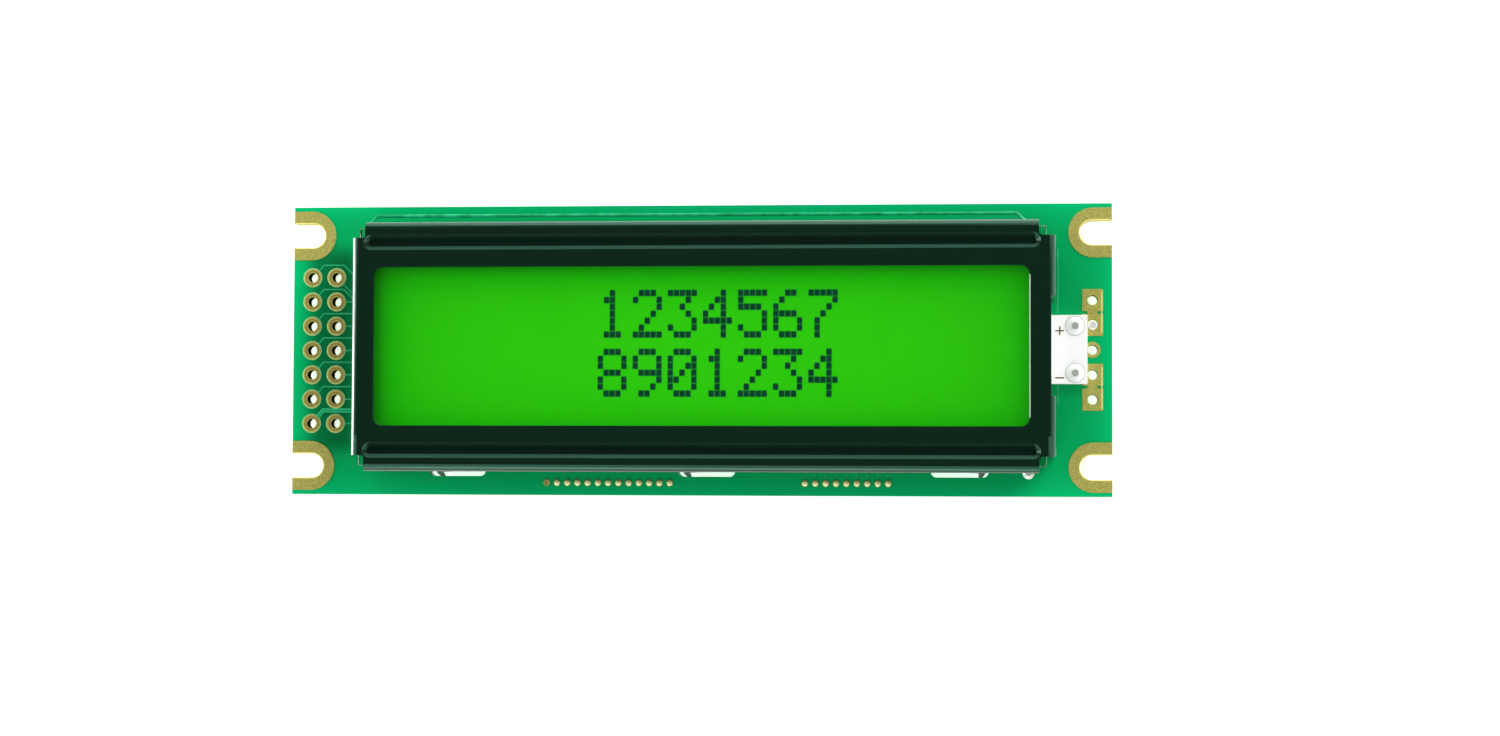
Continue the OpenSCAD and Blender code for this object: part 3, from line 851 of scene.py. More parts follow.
@dataclass
class DisplayCell:
    """The glass cell: the lit layer between its plates, the dots that are on, and the films."""

    columns: int = 16
    rows: int = 2
    dots_across: int = 5
    dots_down: int = 8
    dot_w_mm: float = 0.55
    dot_h_mm: float = 0.65
    dot_gap_mm: float = 0.05
    dot_rise_mm: float = 0.02
    dot_lift_mm: float = 0.01
    column_pitch_mm: float = 3.55
    row_pitch_mm: float = 5.95
    first_column: int = 5
    lines: tuple[str, str] = ("1234567", "8901234")
    layer_mm: float = 0.015
    layer_in_mm: float = 1.0
    layer_lift_mm: float = 0.02
    film_gap_mm: float = 0.02
    film_edge_mm: float = 0.02
    film_round_mm: float = 0.03
    glass_round_mm: float = 0.08
    window_left_mm: float = 2.3
    window_right_mm: float = 2.6
    window_h_mm: float = 16.0

    def window(self) -> Patch:
        """Works out the window's outline from the frame's.

        Returns:
            The outline.
        """
        low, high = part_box("bezel")
        half = self.window_h_mm / 2 * MM
        return (low.x + self.window_left_mm * MM, -half, high.x - self.window_right_mm * MM, half)

    def build(self) -> None:
        """Makes the layer and the dots, and dresses the glass and the films."""
        self.add_layer()
        self.add_dots()
        self.add_film()
        glass = Finish(
            "polished_soda_lime_glass",  # clear with a green tint in its thickness
            base="#eef7f0",
            fleck="#e2f2e8",
            roughness=0.03,
            gloss_spread=0.01,
            relief_mm=0.0002,
            grain_mm=4.0,
            ior=1.52,
            transmission=1.0,
        ).build()
        film = Finish(
            "rear_polarising_film",  # grey-green film behind the cell
            base="#8fae6a",
            fleck="#86a662",
            roughness=0.25,
            grain_mm=2.0,
        ).build()
        seal = Finish(
            "cured_epoxy_seal",  # milky glue with fine spacers in it
            base="#c9cdbd",
            fleck="#b4b9a6",
            roughness=0.4,
            grain_mm=0.3,
        ).build()
        for node in ("front_glass", "rear_glass"):
            swap_material(node, glass)
            soften(PARTS[node], self.glass_round_mm)
        swap_material("rear_polariser", film)
        swap_material("cell_seal", seal)

    def add_layer(self) -> None:
        """Adds the lit layer on the rear plate, inside the glue rim."""
        low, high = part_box("cell_seal")
        inset = Vector((self.layer_in_mm, self.layer_in_mm, 0.0)) * MM
        foot = Vector((0.0, 0.0, self.layer_lift_mm)) * MM
        head = Vector((0.0, 0.0, self.layer_lift_mm + self.layer_mm)) * MM
        shape = bmesh.new()
        add_box(shape, low + inset + foot, Vector((high.x, high.y, low.z)) - inset + head)
        lit = LitLayer(
            "backlit_liquid_crystal",  # yellow-green light through the bright state of the cell
            base="#021400",
            fleck="#021400",
            roughness=0.5,
            grain_mm=0.35,
            glow=1.5,
            window=self.window(),
        ).build()
        place_mesh("liquid_crystal_layer", shape, lit)

    def add_dots(self) -> None:
        """Adds each dot that is on as a thin tile in front of the lit layer."""
        low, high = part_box("cell_seal")
        middle = (low + high) / 2
        base_z = low.z + (self.layer_lift_mm + self.layer_mm + self.dot_lift_mm) * MM
        dot = Vector((self.dot_w_mm, self.dot_h_mm, self.dot_rise_mm)) * MM
        step_x = (self.dot_w_mm + self.dot_gap_mm) * MM
        step_y = (self.dot_h_mm + self.dot_gap_mm) * MM
        cell_w = self.dots_across * step_x - self.dot_gap_mm * MM
        cell_h = self.dots_down * step_y - self.dot_gap_mm * MM
        left = middle.x - ((self.columns - 1) * self.column_pitch_mm * MM + cell_w) / 2
        top = middle.y + ((self.rows - 1) * self.row_pitch_mm * MM + cell_h) / 2
        shape = bmesh.new()
        for row, line in enumerate(self.lines):
            for place, digit in enumerate(line):
                corner_x = left + (self.first_column + place) * self.column_pitch_mm * MM
                corner_y = top - row * self.row_pitch_mm * MM
                for i, bits in enumerate(DIGITS[digit].split()):
                    for j, bit in enumerate(bits):
                        if bit == "1":
                            foot = Vector((corner_x + j * step_x, corner_y - i * step_y, base_z))
                            foot.y -= dot.y
                            add_box(shape, foot, foot + dot)
        dark = GlowingInk(
            "dark_liquid_crystal",  # blue-green where a dot blocks the light
            base="#013c30",
            fleck="#024838",
            roughness=0.6,
            grain_mm=0.5,
            fleck_share=0.5,
            glow=1.0,
        ).build()
        place_mesh("character_dots", shape, dark)

    def add_film(self) -> None:
        """Adds the front film, a hair above the glass so that light passes cleanly."""
        low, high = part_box("front_polariser")
        shape = bmesh.new()
        edge = Vector((self.film_edge_mm, self.film_edge_mm, 0.0)) * MM
        foot = Vector((0.0, 0.0, self.film_gap_mm)) * MM
        add_box(shape, low + edge + foot, high - edge)
        bmesh.ops.bevel(
            shape,
            geom=list(shape.edges),
            offset=self.film_round_mm * MM,
            segments=2,
            profile=0.5,
            affect="EDGES",
            material=-1,
        )
        film = Finish(
            "front_polarising_film",  # hard-coated clear film with a faint neutral tint
            base="#f4f8ee",
            fleck="#eaf2e2",
            roughness=0.06,
            gloss_spread=0.02,
            relief_mm=0.0003,
            grain_mm=3.0,
            ior=1.49,
            transmission=1.0,
        ).build()
        piece = place_mesh("front_film", shape, film)
        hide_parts("front_polariser")


@dataclass
class BezelDress:
    """The folded steel frame's lacquer."""

    edge_mm: float = 0.2
    edge_steps: int = 3
    # Painted highlights along the left fold and along the window's right edge.
    left_fold_highlight_mm: float = 0.27
    window_edge_highlight_mm: float = 0.08
    margin_mm: float = 0.1
    wall_half_mm: float = 11.0
    corner_mm: float = 0.9
    # How far the plain face goes beyond the window, and how far down its own bends reach.
    plain_mm: float = 1.0
    face_mm: float = 0.55
    # The twisted tabs, partly painted near-white as painted light like the lit floor in the slots.
    frame_half_mm: float = 12.62
    tab_half_mm: float = 3.0
    tab_dark_mm: float = 1.9
    tab_pitch_mm: float = 26.0
    tab_middle_mm: float = 1.0
    tab_hands: tuple[int, int, int] = (-1, -1, 1)
    window: Patch = (0.0, 0.0, 0.0, 0.0)

    def build(self) -> None:
        """Gives the frame its lacquer and breaks its edges."""
        low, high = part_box("bezel")
        _, bottom, right, top = self.window
        margin = self.margin_mm * MM
        wall = self.wall_half_mm * MM
        corner = self.corner_mm * MM
        # Painted highlights: a strip along the left fold, and one along the window's right edge.
        fold = (low.x - margin, -wall, low.x + self.left_fold_highlight_mm * MM, wall)
        window_edge_highlight = (right - margin, bottom + corner, right + self.window_edge_highlight_mm * MM, top - corner)
        lacquer = Lacquer(
            "black_stoving_lacquer",  # satin black with a fine orange peel, painted highlights at some edges and painted light on the tabs
            base="#0d2218",
            fleck="#12281c",
            roughness=0.2,
            gloss_spread=0.05,
            grain_mm=0.25,
            relief_mm=0.0012,
            highlight_patches=(fold, window_edge_highlight),
            tab_light_patches=tuple(self.tabs()),
            plain_half=top + self.plain_mm * MM,
            face_z=high.z - self.face_mm * MM,
        ).build()
        swap_material("bezel", lacquer)
        soften(PARTS["bezel"], self.edge_mm, self.edge_steps)

    def tabs(self) -> list[Patch]:
        """Finds the places round the twisted tabs that are painted near-white, as painted light
        like the lit floor in the slots.

        Returns:
            Two patches for each of the three pairs of tabs.
        """
        low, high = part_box("bezel")
        frame_y = self.frame_half_mm * MM
        sides = ((low.y, -frame_y), (frame_y, high.y))
        patches = []
        for place, hand in zip((-1, 0, 1), self.tab_hands):
            middle = (place * self.tab_pitch_mm + self.tab_middle_mm) * MM
            ends = sorted((hand * self.tab_dark_mm * MM, -hand * self.tab_half_mm * MM))
            patches += [(middle + ends[0], near, middle + ends[1], far) for near, far in sides]
        return patches


@dataclass
class BoardDress:
    """The circuit board: solder mask, lands, solder and tracks."""

    # The board and its lands.
    board_edge_mm: float = 0.05
    land_edge_mm: float = 0.03
    pitch_mm: float = 2.54
    rows: int = 7
    land_r_mm: float = 0.92
    wall_dip_mm: float = 0.15
    dark_out_mm: tuple[float, float, float, float] = (-0.5, 2.0, 1.0, 2.0)
    # The rings and lines on the lands.
    land_highlight_ring_mm: float = 0.08
    land_highlight_rise_mm: float = 0.03
    dark_ring_mm: tuple[float, float] = (0.63, 0.73)
    dark_ring_rise_mm: float = 0.01
    slot_r_mm: float = 1.25
    slot_rim_mm: float = 1.3
    slot_in_mm: float = 2.05
    highlight_line_mm: float = 0.12
    slot_steps: int = 16
    supply_highlight_in_mm: float = 0.14
    supply_highlight_mm: tuple[float, float] = (1.7, 6.0)
    # All tracks.
    track_mm: float = 0.16
    wide_mm: float = 0.5
    ridge_share: float = 0.3
    sink_mm: float = 0.004
    # The pour's edge beyond the frame, the tracks beside it and the stubs to the test holes.
    pour_mm: float = 0.36
    pour_in_mm: float = 0.95
    pour_drop_mm: float = 0.85
    pour_ends_mm: tuple[float, float] = (0.2, 2.9)
    pour_slopes_mm: tuple[float, float] = (0.8, 0.9)
    side_mm: float = 0.2
    side_gap_mm: float = 0.35
    side_spans_mm: tuple[tuple[float, float], ...] = ((10.5, 3.8), (-3.6, -5.5))
    stub_mm: float = 0.1
    stub_from_mm: float = 0.4
    stub_under_mm: float = 0.5
    test_count: int = 9
    test_x_mm: float = 11.15
    test_y_mm: float = -13.72
    test_pitch_mm: float = 1.067
    # The header's tracks on the front.
    lane_mm: float = 1.3
    wide_lane_mm: float = 1.35
    lane_start_mm: float = 0.5
    lane_turn_mm: float = 1.2
    jogged_rows: int = 2
    jog_at_mm: float = 0.75
    jog_mm: float = 1.2
    dip_mm: float = 1.5
    plain_start_mm: float = 0.7
    under_frame_mm: float = 1.0
    # The tracks on the back.
    fan_count: int = 44
    fan_gap: float = 0.42
    fan_in_mm: float = 0.2
    fan_run_mm: float = 1.6
    fan_out_mm: float = 2.2
    bus_count: int = 7
    bus_pitch_mm: float = 0.5
    bus_in_mm: float = 0.3
    line_start_mm: float = 0.2
    line_run_mm: float = 6.0
    line_in_mm: float = 0.4
    line_slant: float = 0.35
    squeeze: float = 0.55
    low: Vector = field(init=False)
    high: Vector = field(init=False)

    def build(self) -> None:
        """Dresses the board's own parts and adds what is etched on it, and the rings and lines on
        its lands.
        """
        self.low, self.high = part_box("board")
        mask = SolderMask(
            "green_solder_mask",  # glossy green over glass cloth
            base="#04a95c",
            fleck="#039a50",
            roughness=0.22,
            gloss_spread=0.04,
            grain_mm=3.0,
            relief_mm=0.0008,
            outline=(self.high.x, self.high.y),
            dark_patch=self.header_patch(),
        ).build()
        gold_look = {
            "base": "#d0cc6c",
            "fleck": "#9c9646",
            "roughness": 0.45,
            "grain_mm": 0.2,
            "fleck_share": 0.8,
            "relief_mm": 0.004,
            "metallic": 0.35,
        }
        gold = Finish("gold_flashed_copper", **gold_look).build()  # pale, matt, a little grainy
        drilled = PlatedLand(
            "gold_flashed_land",  # the same gold round a hole, with painted shade on its wall below the faces
            **gold_look,
            wall_z=(self.low.z + self.wall_dip_mm * MM, self.high.z - self.wall_dip_mm * MM),
        ).build()
        solder = Finish(
            "bright_tin_solder",  # smooth, silvery, with a frozen skin
            base="#f2f4ee",
            fleck="#d2d8d0",
            roughness=0.3,
            grain_mm=0.3,
            relief_mm=0.004,
            metallic=0.35,
        ).build()
        swap_material("board", mask)
        soften(PARTS["board"], self.board_edge_mm)
        for node in ("slot_lands", "test_lands", "pin_lands"):
            swap_material(node, gold)
        for node in ("header_lands", "supply_lands"):
            swap_material(node, drilled)
        for node in ("slot_lands", "header_lands", "supply_lands"):
            soften(PARTS[node], self.land_edge_mm, 1)
        domes = Finish(
            "fluxed_solder_dome",  # creamy, with flux left on it
            base="#fbffbe",
            fleck="#cdd078",
            roughness=0.3,
            grain_mm=0.25,
            relief_mm=0.004,
        ).build()
        white = Finish(
            "matt_white_solder",  # frosted joint on the white tab
            base="#ffffff",
            fleck="#fafcfb",
            roughness=0.7,
            grain_mm=0.4,
            relief_mm=0.003,
        ).build()
        for node in ("supply_solder", "earth_solder", "chip_solder"):
            swap_material(node, solder)
        swap_material("test_solder", domes)
        swap_material("backlight_solder", white)
        self.add_tracks(Face.FRONT, self.front_routes())
        self.add_tracks(Face.BACK, self.back_routes())
        self.add_edge_line()
        self.add_land_highlight_rings()
        self.add_dark_rings()
        self.add_edge_highlights()

    def add_edge_line(self) -> None:
        """Adds the edge of the copper pour at the far side, the tracks at the frame's right end
        and the stubs from the test holes to under the frame."""
        line = Finish(
            "masked_copper_pour_edge",  # a ridge under the mask, which catches light in patches
            base="#30cc8c",
            fleck="#089456",
            roughness=0.2,
            grain_mm=1.4,
            fleck_share=1.0,
            relief_mm=0.002,
        ).build()
        bezel_low, bezel_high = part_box("bezel")
        z = self.high.z - self.sink_mm * MM
        far = self.high.y - self.pour_in_mm * MM
        inner = far - self.pour_drop_mm * MM
        left = bezel_low.x - self.pour_ends_mm[0] * MM
        right = bezel_high.x - self.pour_ends_mm[1] * MM
        rise, fall = (slope * MM for slope in self.pour_slopes_mm)
        pour = [(left, inner), (left + rise, far), (right - fall, far), (right, inner)]
        shapes = [(pour, self.pour_mm)]
        beside = bezel_high.x + self.side_gap_mm * MM
        for span in self.side_spans_mm:
            shapes.append(([(beside, end * MM) for end in span], self.side_mm))
        foot = (self.test_y_mm + self.stub_from_mm) * MM
        under = bezel_low.y + self.stub_under_mm * MM
        for i in range(self.test_count):
            x = (self.test_x_mm + i * self.test_pitch_mm) * MM
            shapes.append(([(x, foot), (x, under)], self.stub_mm))
        routes = [([Vector((x, y, z)) for x, y in points], width * MM) for points, width in shapes]
        place_mesh("edge_tracks", ridge("edge_tracks", routes, self.ridge_share), line)

    def header_centres(self) -> list[Vector]:
        """Finds the middles of the header's lands.

        Returns:
            The fourteen points, on the board's face.
        """
        low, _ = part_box("header_lands")
        first = low.x + self.land_r_mm * MM
        return [
            Vector((first + column * self.pitch_mm * MM, row * self.pitch_mm * MM, self.high.z))
            for column in (0, 1)
            for row in range(-(self.rows // 2), self.rows // 2 + 1)
        ]

    def add_land_highlight_rings(self) -> None:
        """Adds a pale ring round each land of the header: the raised edge of the mask, with a
        painted highlight on it.
        """
        rim = Finish(
            "mask_edge_highlight",  # the mask's own edge, where it is thickest
            base="#b4e8a0",
            fleck="#7cc888",
            roughness=0.25,
            grain_mm=0.4,
        ).build()
        shape = bmesh.new()
        inner = self.land_r_mm * MM
        outer = inner + self.land_highlight_ring_mm * MM
        for centre in self.header_centres():
            add_ring(shape, centre, inner, outer, self.land_highlight_rise_mm * MM)
        place_mesh("land_highlight_rings", shape, rim)

    def add_dark_rings(self) -> None:
        """Adds a darker brown ring on each land of the header."""
        dark_gold = Finish(
            "brown_land_ring",  # brown, darker than the gold round it
            base="#a07c3a",
            fleck="#86642c",
            roughness=0.45,
            grain_mm=0.2,
            metallic=0.35,
        ).build()
        shape = bmesh.new()
        _, land_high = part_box("header_lands")
        inner, outer = (radius * MM for radius in self.dark_ring_mm)
        for centre in self.header_centres():
            foot = Vector((centre.x, centre.y, land_high.z - self.sink_mm * MM))
            add_ring(shape, foot, inner, outer, self.dark_ring_rise_mm * MM)
        place_mesh("land_dark_rings", shape, dark_gold)

    def add_edge_highlights(self) -> None:
        """Adds painted highlights: a bright line along the edge of the land round each mounting
        slot, and along the two supply lands."""
        bright = Finish(
            "gold_edge_highlight",  # painted highlight along the lands' edges
            base="#fff08c",
            fleck="#f0d468",
            roughness=0.35,
            grain_mm=0.3,
        ).build()
        _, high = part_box("slot_lands")
        radius = (self.slot_r_mm + self.highlight_line_mm / 2) * MM
        middle_x = high.x - self.slot_in_mm * MM
        middle_y = high.y - (self.slot_r_mm + self.slot_rim_mm) * MM
        turns = [math.pi * (0.5 + i / self.slot_steps) for i in range(self.slot_steps + 1)]
        arc = [(middle_x + radius * math.cos(t), radius * math.sin(t)) for t in turns]
        end = high.x - self.highlight_line_mm * MM
        outline = [(end, radius), *arc, (end, -radius)]
        z = high.z - self.sink_mm * MM
        width = self.highlight_line_mm * MM
        routes = [
            ([Vector((sx * x, sy * middle_y + y, z)) for x, y in outline], width)
            for sx in (1, -1)
            for sy in (1, -1)
        ]
        _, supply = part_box("supply_lands")
        edge = supply.x - self.supply_highlight_in_mm * MM
        for side in (1, -1):
            line = [Vector((edge, side * end_mm * MM, z)) for end_mm in self.supply_highlight_mm]
            routes.append((line, width))
        lines = ridge("slot_edge_highlights", routes, self.ridge_share)
        place_mesh("slot_edge_highlights", lines, bright)

    def header_patch(self) -> Patch:
        """Finds the area round the header's lands, where the mask is made darker.

        Returns:
            The area.
        """
        low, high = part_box("header_lands")
        left, near, right, far = (out * MM for out in self.dark_out_mm)
        return (low.x - left, low.y - near, high.x + right, high.y + far)

    def add_tracks(self, face: Face, routes: list[Route]) -> None:
        """Adds the tracks of one face as low ridges under the mask.

        Args:
            face: The face that they lie on.
            routes: Their points and widths.
        """
        track = Finish(
            "masked_copper_track",  # the mask looks lighter over bright copper
            base="#1cb074",
            fleck="#169c62",
            roughness=0.22,
            grain_mm=1.0,
            relief_mm=0.001,
        ).build()
        name = f"{face.value}_tracks"
        place_mesh(name, ridge(name, routes, self.ridge_share), track)

    def back_routes(self) -> list[Route]:
        """Lays out the back: a fan round each resin drop, the bus between the two drops, and the
        lines from the header to the first of them.

        Returns:
            The routes.
        """
        z = self.low.z + self.sink_mm * MM
        drops = [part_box(node) for node in ("controller_drop", "driver_drop")]
        routes = []
        for low, high in drops:
            middle = (low + high) / 2
            radius = (high.x - low.x) / 2
            for i in range(self.fan_count):
                turn = math.tau * (i + 0.5) / self.fan_count
                if abs(math.sin(turn)) < self.fan_gap:
                    continue
                way = Vector((math.cos(turn), math.sin(turn), 0))
                out = Vector((0, math.copysign(self.fan_out_mm * MM, way.y), 0))
                start = Vector((middle.x, middle.y, z)) + way * (radius - self.fan_in_mm * MM)
                bend = start + way * self.fan_run_mm * MM
                routes.append(([start, bend, bend + out], self.track_mm * MM))
        for i in range(self.bus_count):
            y = (i - (self.bus_count - 1) / 2) * self.bus_pitch_mm * MM
            ends = (drops[0][1].x - self.bus_in_mm * MM, drops[1][0].x + self.bus_in_mm * MM)
            routes.append(([Vector((x, y, z)) for x in ends], self.track_mm * MM))
        _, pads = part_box("header_lands")
        start_x = pads.x - self.line_start_mm * MM
        bend_x = pads.x + self.line_run_mm * MM
        for row in range(-(self.rows // 2), self.rows // 2 + 1):
            y = row * self.pitch_mm * MM
            near = y * self.squeeze
            stop_x = drops[0][0].x + self.line_in_mm * MM + abs(near) * self.line_slant
            points = [(start_x, y), (bend_x, y), (bend_x + abs(y - near), near), (stop_x, near)]
            routes.append(([Vector((x, y, z)) for x, y in points], self.track_mm * MM))
        return routes

    def front_routes(self) -> list[Route]:
        """Lays out the front: from each land of the header, between the rows, to under the
        frame.

        Returns:
            The routes.
        """
        level = self.high.z - self.sink_mm * MM
        pads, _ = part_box("header_lands")
        frame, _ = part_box("bezel")
        first_x = pads.x + self.land_r_mm * MM
        second_x = first_x + self.pitch_mm * MM
        end_x = frame.x + self.under_frame_mm * MM
        side = self.lane_start_mm * MM
        jog = self.jog_mm * MM
        dip = self.dip_mm * MM
        routes = []
        for row in range(self.rows):
            y = ((self.rows - 1) / 2 - row) * self.pitch_mm * MM
            wide = row == self.rows - 1
            width = (self.wide_mm if wide else self.track_mm) * MM
            lane = y + (self.wide_lane_mm if wide else self.lane_mm) * MM
            route = [(first_x + side, y + side), (first_x + self.lane_turn_mm * MM, lane)]
            if row < self.jogged_rows:
                bend = second_x + self.jog_at_mm * MM
                route += [(bend, lane), (bend + jog, lane - jog), (end_x, lane - jog)]
            else:
                route.append((end_x, lane))
            routes.append((route, width))
            if row == 0:
                short = [(second_x + side, y - side), (second_x + dip, y - dip), (end_x, y - dip)]
            else:
                short = [(second_x + self.plain_start_mm * MM, y), (end_x, y)]
            routes.append((short, self.track_mm * MM))
        return [([Vector((x, y, level)) for x, y in points], width) for points, width in routes]


@dataclass
class BacklightDress:
    """The light box, the LED board with its tab, the LEDs and their pins."""

    # A faint painted glow that brightens the white tab.
    tab_painted_glow: float = 0.05
    board_edge_mm: float = 0.06
    mark_mm: float = 0.9
    stroke_mm: float = 0.14
    ink_mm: float = 0.02
    mark_out_mm: float = 0.55
    mark_down_mm: float = 0.5
    ring_mm: tuple[float, float] = (0.915, 1.013)

    def build(self) -> None:
        """Dresses the backlight's parts."""
        white = Finish(
            "white_moulded_polycarbonate",  # dense white that hides the wall's depth
            base="#f1f2ee",
            fleck="#e6e8e2",
            roughness=0.45,
            grain_mm=0.6,
        ).build()
        mask = LitSheet(
            "white_solder_mask",  # bright white ink on the LED board, with a faint painted glow
            glow=self.tab_painted_glow,
            base="#ffffff",
            fleck="#f8faf8",
            roughness=0.38,
            grain_mm=1.5,
            relief_mm=0.002,
        ).build()
        frost = Finish(
            "frosted_polyester_sheet",  # scatters the light evenly
            base="#d6efb0",
            fleck="#cce8a4",
            roughness=0.6,
            grain_mm=0.2,
        ).build()
        lens = Finish(
            "clear_epoxy_lens",  # yellow-green tinted resin
            base="#b8f060",
            fleck="#a6e050",
            roughness=0.15,
            grain_mm=0.5,
        ).build()
        tin = Finish(
            "tinned_wire",  # drawn wire, dulled and slightly streaked
            base="#c0cac2",
            fleck="#8a988e",
            roughness=0.45,
            grain_mm=0.2,
            metallic=0.4,
        ).build()
        rubber = LayeredRubber(
            "layered_silicone_rubber",  # grey with fine dark layers
            base="#b8bdbb",
            fleck="#3c4040",
            roughness=0.7,
        ).build()
        for node, material in (
            ("light_box", white),
            ("led_bases", white),
            ("led_board", mask),
            ("diffuser", frost),
            ("led_lenses", lens),
            ("backlight_pins", tin),
            ("rubber_strips", rubber),
        ):
            swap_material(node, material)
        soften(PARTS["led_board"], self.board_edge_mm)
        self.add_marks()

    def add_marks(self) -> None:
        """Adds the printed signs and the rings round the pins' joints on the tab."""
        _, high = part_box("led_board")
        pins_low, pins_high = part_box("backlight_pins")
        _, frame_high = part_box("bezel")
        pin_x = (pins_low.x + pins_high.x) / 2
        pin_r = (pins_high.x - pins_low.x) / 2
        rows = (pins_high.y - pin_r, pins_low.y + pin_r)
        rise = self.ink_mm * MM
        ink = Finish(
            "brown_marking_ink",  # printed on the white mask
            base="#6a5a26",
            fleck="#867438",
            roughness=0.6,
            grain_mm=0.2,
        ).build()
        shape = bmesh.new()
        half, stroke = self.mark_mm / 2 * MM, self.stroke_mm / 2 * MM
        mark_x = frame_high.x + self.mark_out_mm * MM
        reaches = (Vector((half, stroke, 0.0)), Vector((stroke, half, 0.0)))
        for y, bars in zip(rows, (2, 1)):
            centre = Vector((mark_x, y - self.mark_down_mm * MM, high.z))
            for reach in reaches[:bars]:
                add_box(shape, centre - reach, centre + reach + Vector((0.0, 0.0, rise)))
        place_mesh("polarity_marks", shape, ink)
        ring = Finish(
            "grey_joint_ring",  # a thin grey-green line round each joint
            base="#8fa596",
            fleck="#b8c8bc",
            roughness=0.3,
            grain_mm=0.3,
        ).build()
        shape = bmesh.new()
        inner, outer = (radius * MM for radius in self.ring_mm)
        for y in rows:
            add_ring(shape, Vector((pin_x, y, high.z)), inner, outer, rise)
        place_mesh("joint_rings", shape, ring)


@dataclass
class ChipDress:
    """The parts on the board's back."""

    def build(self) -> None:
        """Dresses the resin drops and the chips."""
        resin = Finish(
            "black_epoxy_resin",  # poured and cured: glossy, with a slow ripple
            base="#0b0b0c",
            fleck="#131314",
            roughness=0.22,
            grain_mm=2.5,
            relief_mm=0.03,
        ).build()
        glaze = Finish(
            "glazed_alumina_chip",  # black overglaze
            base="#101112",
            fleck="#1a1b1c",
            roughness=0.3,
            grain_mm=0.3,
        ).build()
        ceramic = Finish(
            "fired_ceramic_chip",  # matt brown body
            base="#9a7148",
            fleck="#86613c",
            roughness=0.55,
            grain_mm=0.15,
        ).build()
        tin = Finish(
            "tin_plated_end",  # dull plated metal
            base="#d5d6d2",
            fleck="#b4b6b1",
            roughness=0.4,
            grain_mm=0.12,
            metallic=0.85,
        ).build()
        for node, material in (
            ("controller_drop", resin),
            ("driver_drop", resin),
            ("resistors", glaze),
            ("capacitors", ceramic),
            ("resistor_ends", tin),
            ("capacitor_ends", tin),
        ):
            swap_material(node, material)


@dataclass(frozen=True)
class Lamp:
    """A soft lamp that faces the module."""

    name: str
    place_mm: tuple[float, float, float]
    wide_mm: float
    high_mm: float
    watts: float


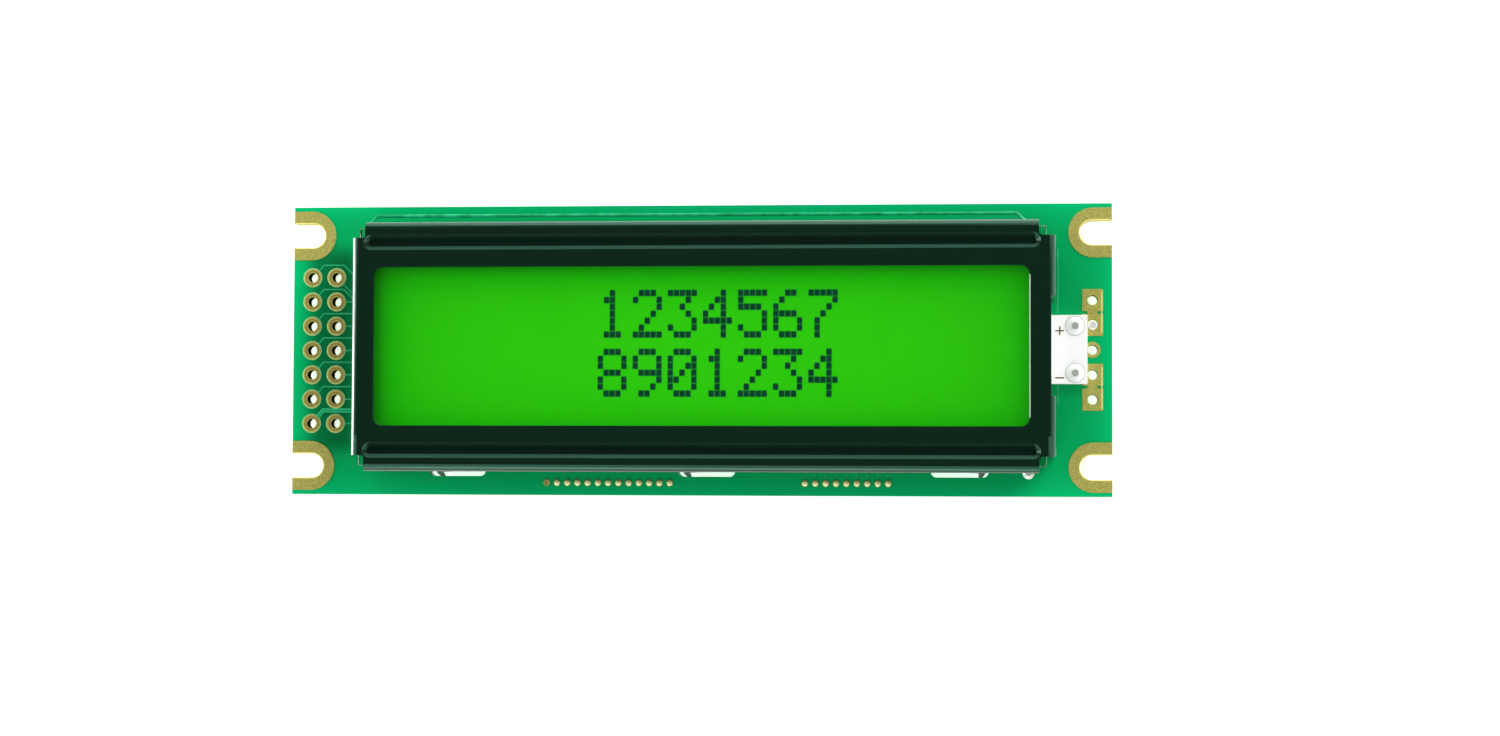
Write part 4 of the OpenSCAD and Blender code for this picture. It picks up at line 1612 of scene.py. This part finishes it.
@dataclass
class Studio:
    """The floor, the lights and the camera."""

    eye_mm: tuple[float, float, float] = (30.43, -13.70, 281.08)
    turn: tuple[float, float, float] = (0.0423, 0.0885, 0.0035)
    lens_mm: float = 65.78
    sensor_mm: float = 36.0
    clip_m: tuple[float, float] = (0.01, 20.0)
    floor_m: float = 3.0
    band_z: tuple[float, float] = (0.55, 0.9)
    band_level: float = 1.05
    zenith_level: float = 0.012
    lean: tuple[float, float, float] = (0.0, -0.25, 0.0)
    lamps: tuple[Lamp, ...] = (
        Lamp("left_strip", (-400, 20, 75), 200, 100, 0.9),
        Lamp("key_box", (330, 360, 330), 300, 300, 2.0),
        Lamp("front_strip", (-20, -420, 140), 400, 80, 0.9),
        Lamp("back_strip", (-60, 420, 150), 400, 80, 0.8),
    )

    def build(self) -> None:
        """Makes the floor, the sky, the lamps and the camera."""
        view = bpy.context.scene.view_settings
        view.view_transform = "Standard"
        view.look = "None"
        self.add_floor()
        self.add_sky()
        for lamp in self.lamps:
            self.add_lamp(lamp)
        self.add_camera()

    def add_floor(self) -> None:
        """Adds the pale floor at the height that the module rests on."""
        shape = bmesh.new()
        bmesh.ops.create_grid(shape, x_segments=1, y_segments=1, size=self.floor_m)
        mesh = bpy.data.meshes.new("floor")
        shape.to_mesh(mesh)
        shape.free()
        paper = LitSheet(
            "backlit_matt_paper",  # pale and even, on a lit table
            base="#f4f5f4",
            fleck="#eef0ef",
            roughness=0.9,
            grain_mm=40.0,
            relief_mm=0.0,
        ).build()
        mesh.materials.append(paper)
        floor = bpy.data.objects.new("floor", mesh)
        bpy.context.scene.collection.objects.link(floor)

    def add_sky(self) -> None:
        """Adds soft light from all round, a little brighter at the near side, dark overhead."""
        world = bpy.data.worlds.new("studio")
        world.use_nodes = True
        tree = world.node_tree
        tree.nodes.clear()
        way = add_node(tree, "ShaderNodeTexCoord").outputs["Generated"]
        height = add_node(tree, "ShaderNodeSeparateXYZ", {0: way}).outputs["Z"]
        inputs = {
            "Value": height,
            "From Min": self.band_z[0],
            "From Max": self.band_z[1],
            "To Min": self.band_level,
            "To Max": self.zenith_level,
        }
        level = add_node(
            tree, "ShaderNodeMapRange", inputs, interpolation_type="SMOOTHSTEP"
        ).outputs["Result"]
        lean = add_node(
            tree, "ShaderNodeVectorMath", {0: way, 1: self.lean}, operation="DOT_PRODUCT"
        ).outputs["Value"]
        share = add_node(tree, "ShaderNodeMath", {0: lean, 1: 1.0}, operation="ADD").outputs[0]
        power = add_node(tree, "ShaderNodeMath", {0: level, 1: share}, operation="MULTIPLY")
        back = add_node(
            tree,
            "ShaderNodeBackground",
            {"Color": linear("#ffffff"), "Strength": power.outputs[0]},
        )
        add_node(tree, "ShaderNodeOutputWorld", {"Surface": back.outputs[0]})
        bpy.context.scene.world = world

    def add_lamp(self, lamp: Lamp) -> None:
        """Adds one lamp, turned to the module.

        Args:
            lamp: The lamp.
        """
        light = bpy.data.lights.new(lamp.name, "AREA")
        light.shape = "RECTANGLE"
        light.size = lamp.wide_mm * MM
        light.size_y = lamp.high_mm * MM
        light.energy = lamp.watts
        piece = bpy.data.objects.new(lamp.name, light)
        piece.location = Vector(lamp.place_mm) * MM
        piece.rotation_euler = (-piece.location).to_track_quat("-Z", "Y").to_euler()
        bpy.context.scene.collection.objects.link(piece)

    def add_camera(self) -> None:
        """Adds the camera, over the display and a little to its right."""
        _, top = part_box("board")
        camera = bpy.data.cameras.new("camera")
        camera.sensor_width = self.sensor_mm
        camera.lens = self.lens_mm
        camera.clip_start, camera.clip_end = self.clip_m
        piece = bpy.data.objects.new("camera", camera)
        piece.location = Vector(self.eye_mm) * MM + Vector((0, 0, top.z))
        piece.rotation_euler = Euler(self.turn, "XYZ")
        bpy.context.scene.collection.objects.link(piece)
        bpy.context.scene.camera = piece


def main() -> None:
    """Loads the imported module, dresses it and sets it in the studio."""
    logging.basicConfig(level=logging.INFO, format="%(name)s: %(message)s")
    for leftover in list(bpy.data.objects):
        bpy.data.objects.remove(leftover)
    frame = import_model()
    PARTS.update(frame["nodes"])
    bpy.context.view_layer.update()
    cell = DisplayCell()
    for assembly in (
        BoardDress(),
        cell,
        BezelDress(window=cell.window()),
        BacklightDress(),
        ChipDress(),
        Studio(),
    ):
        assembly.build()
        LOG.info("%s is ready", type(assembly).__name__)


if __name__ == "__main__":
    main()
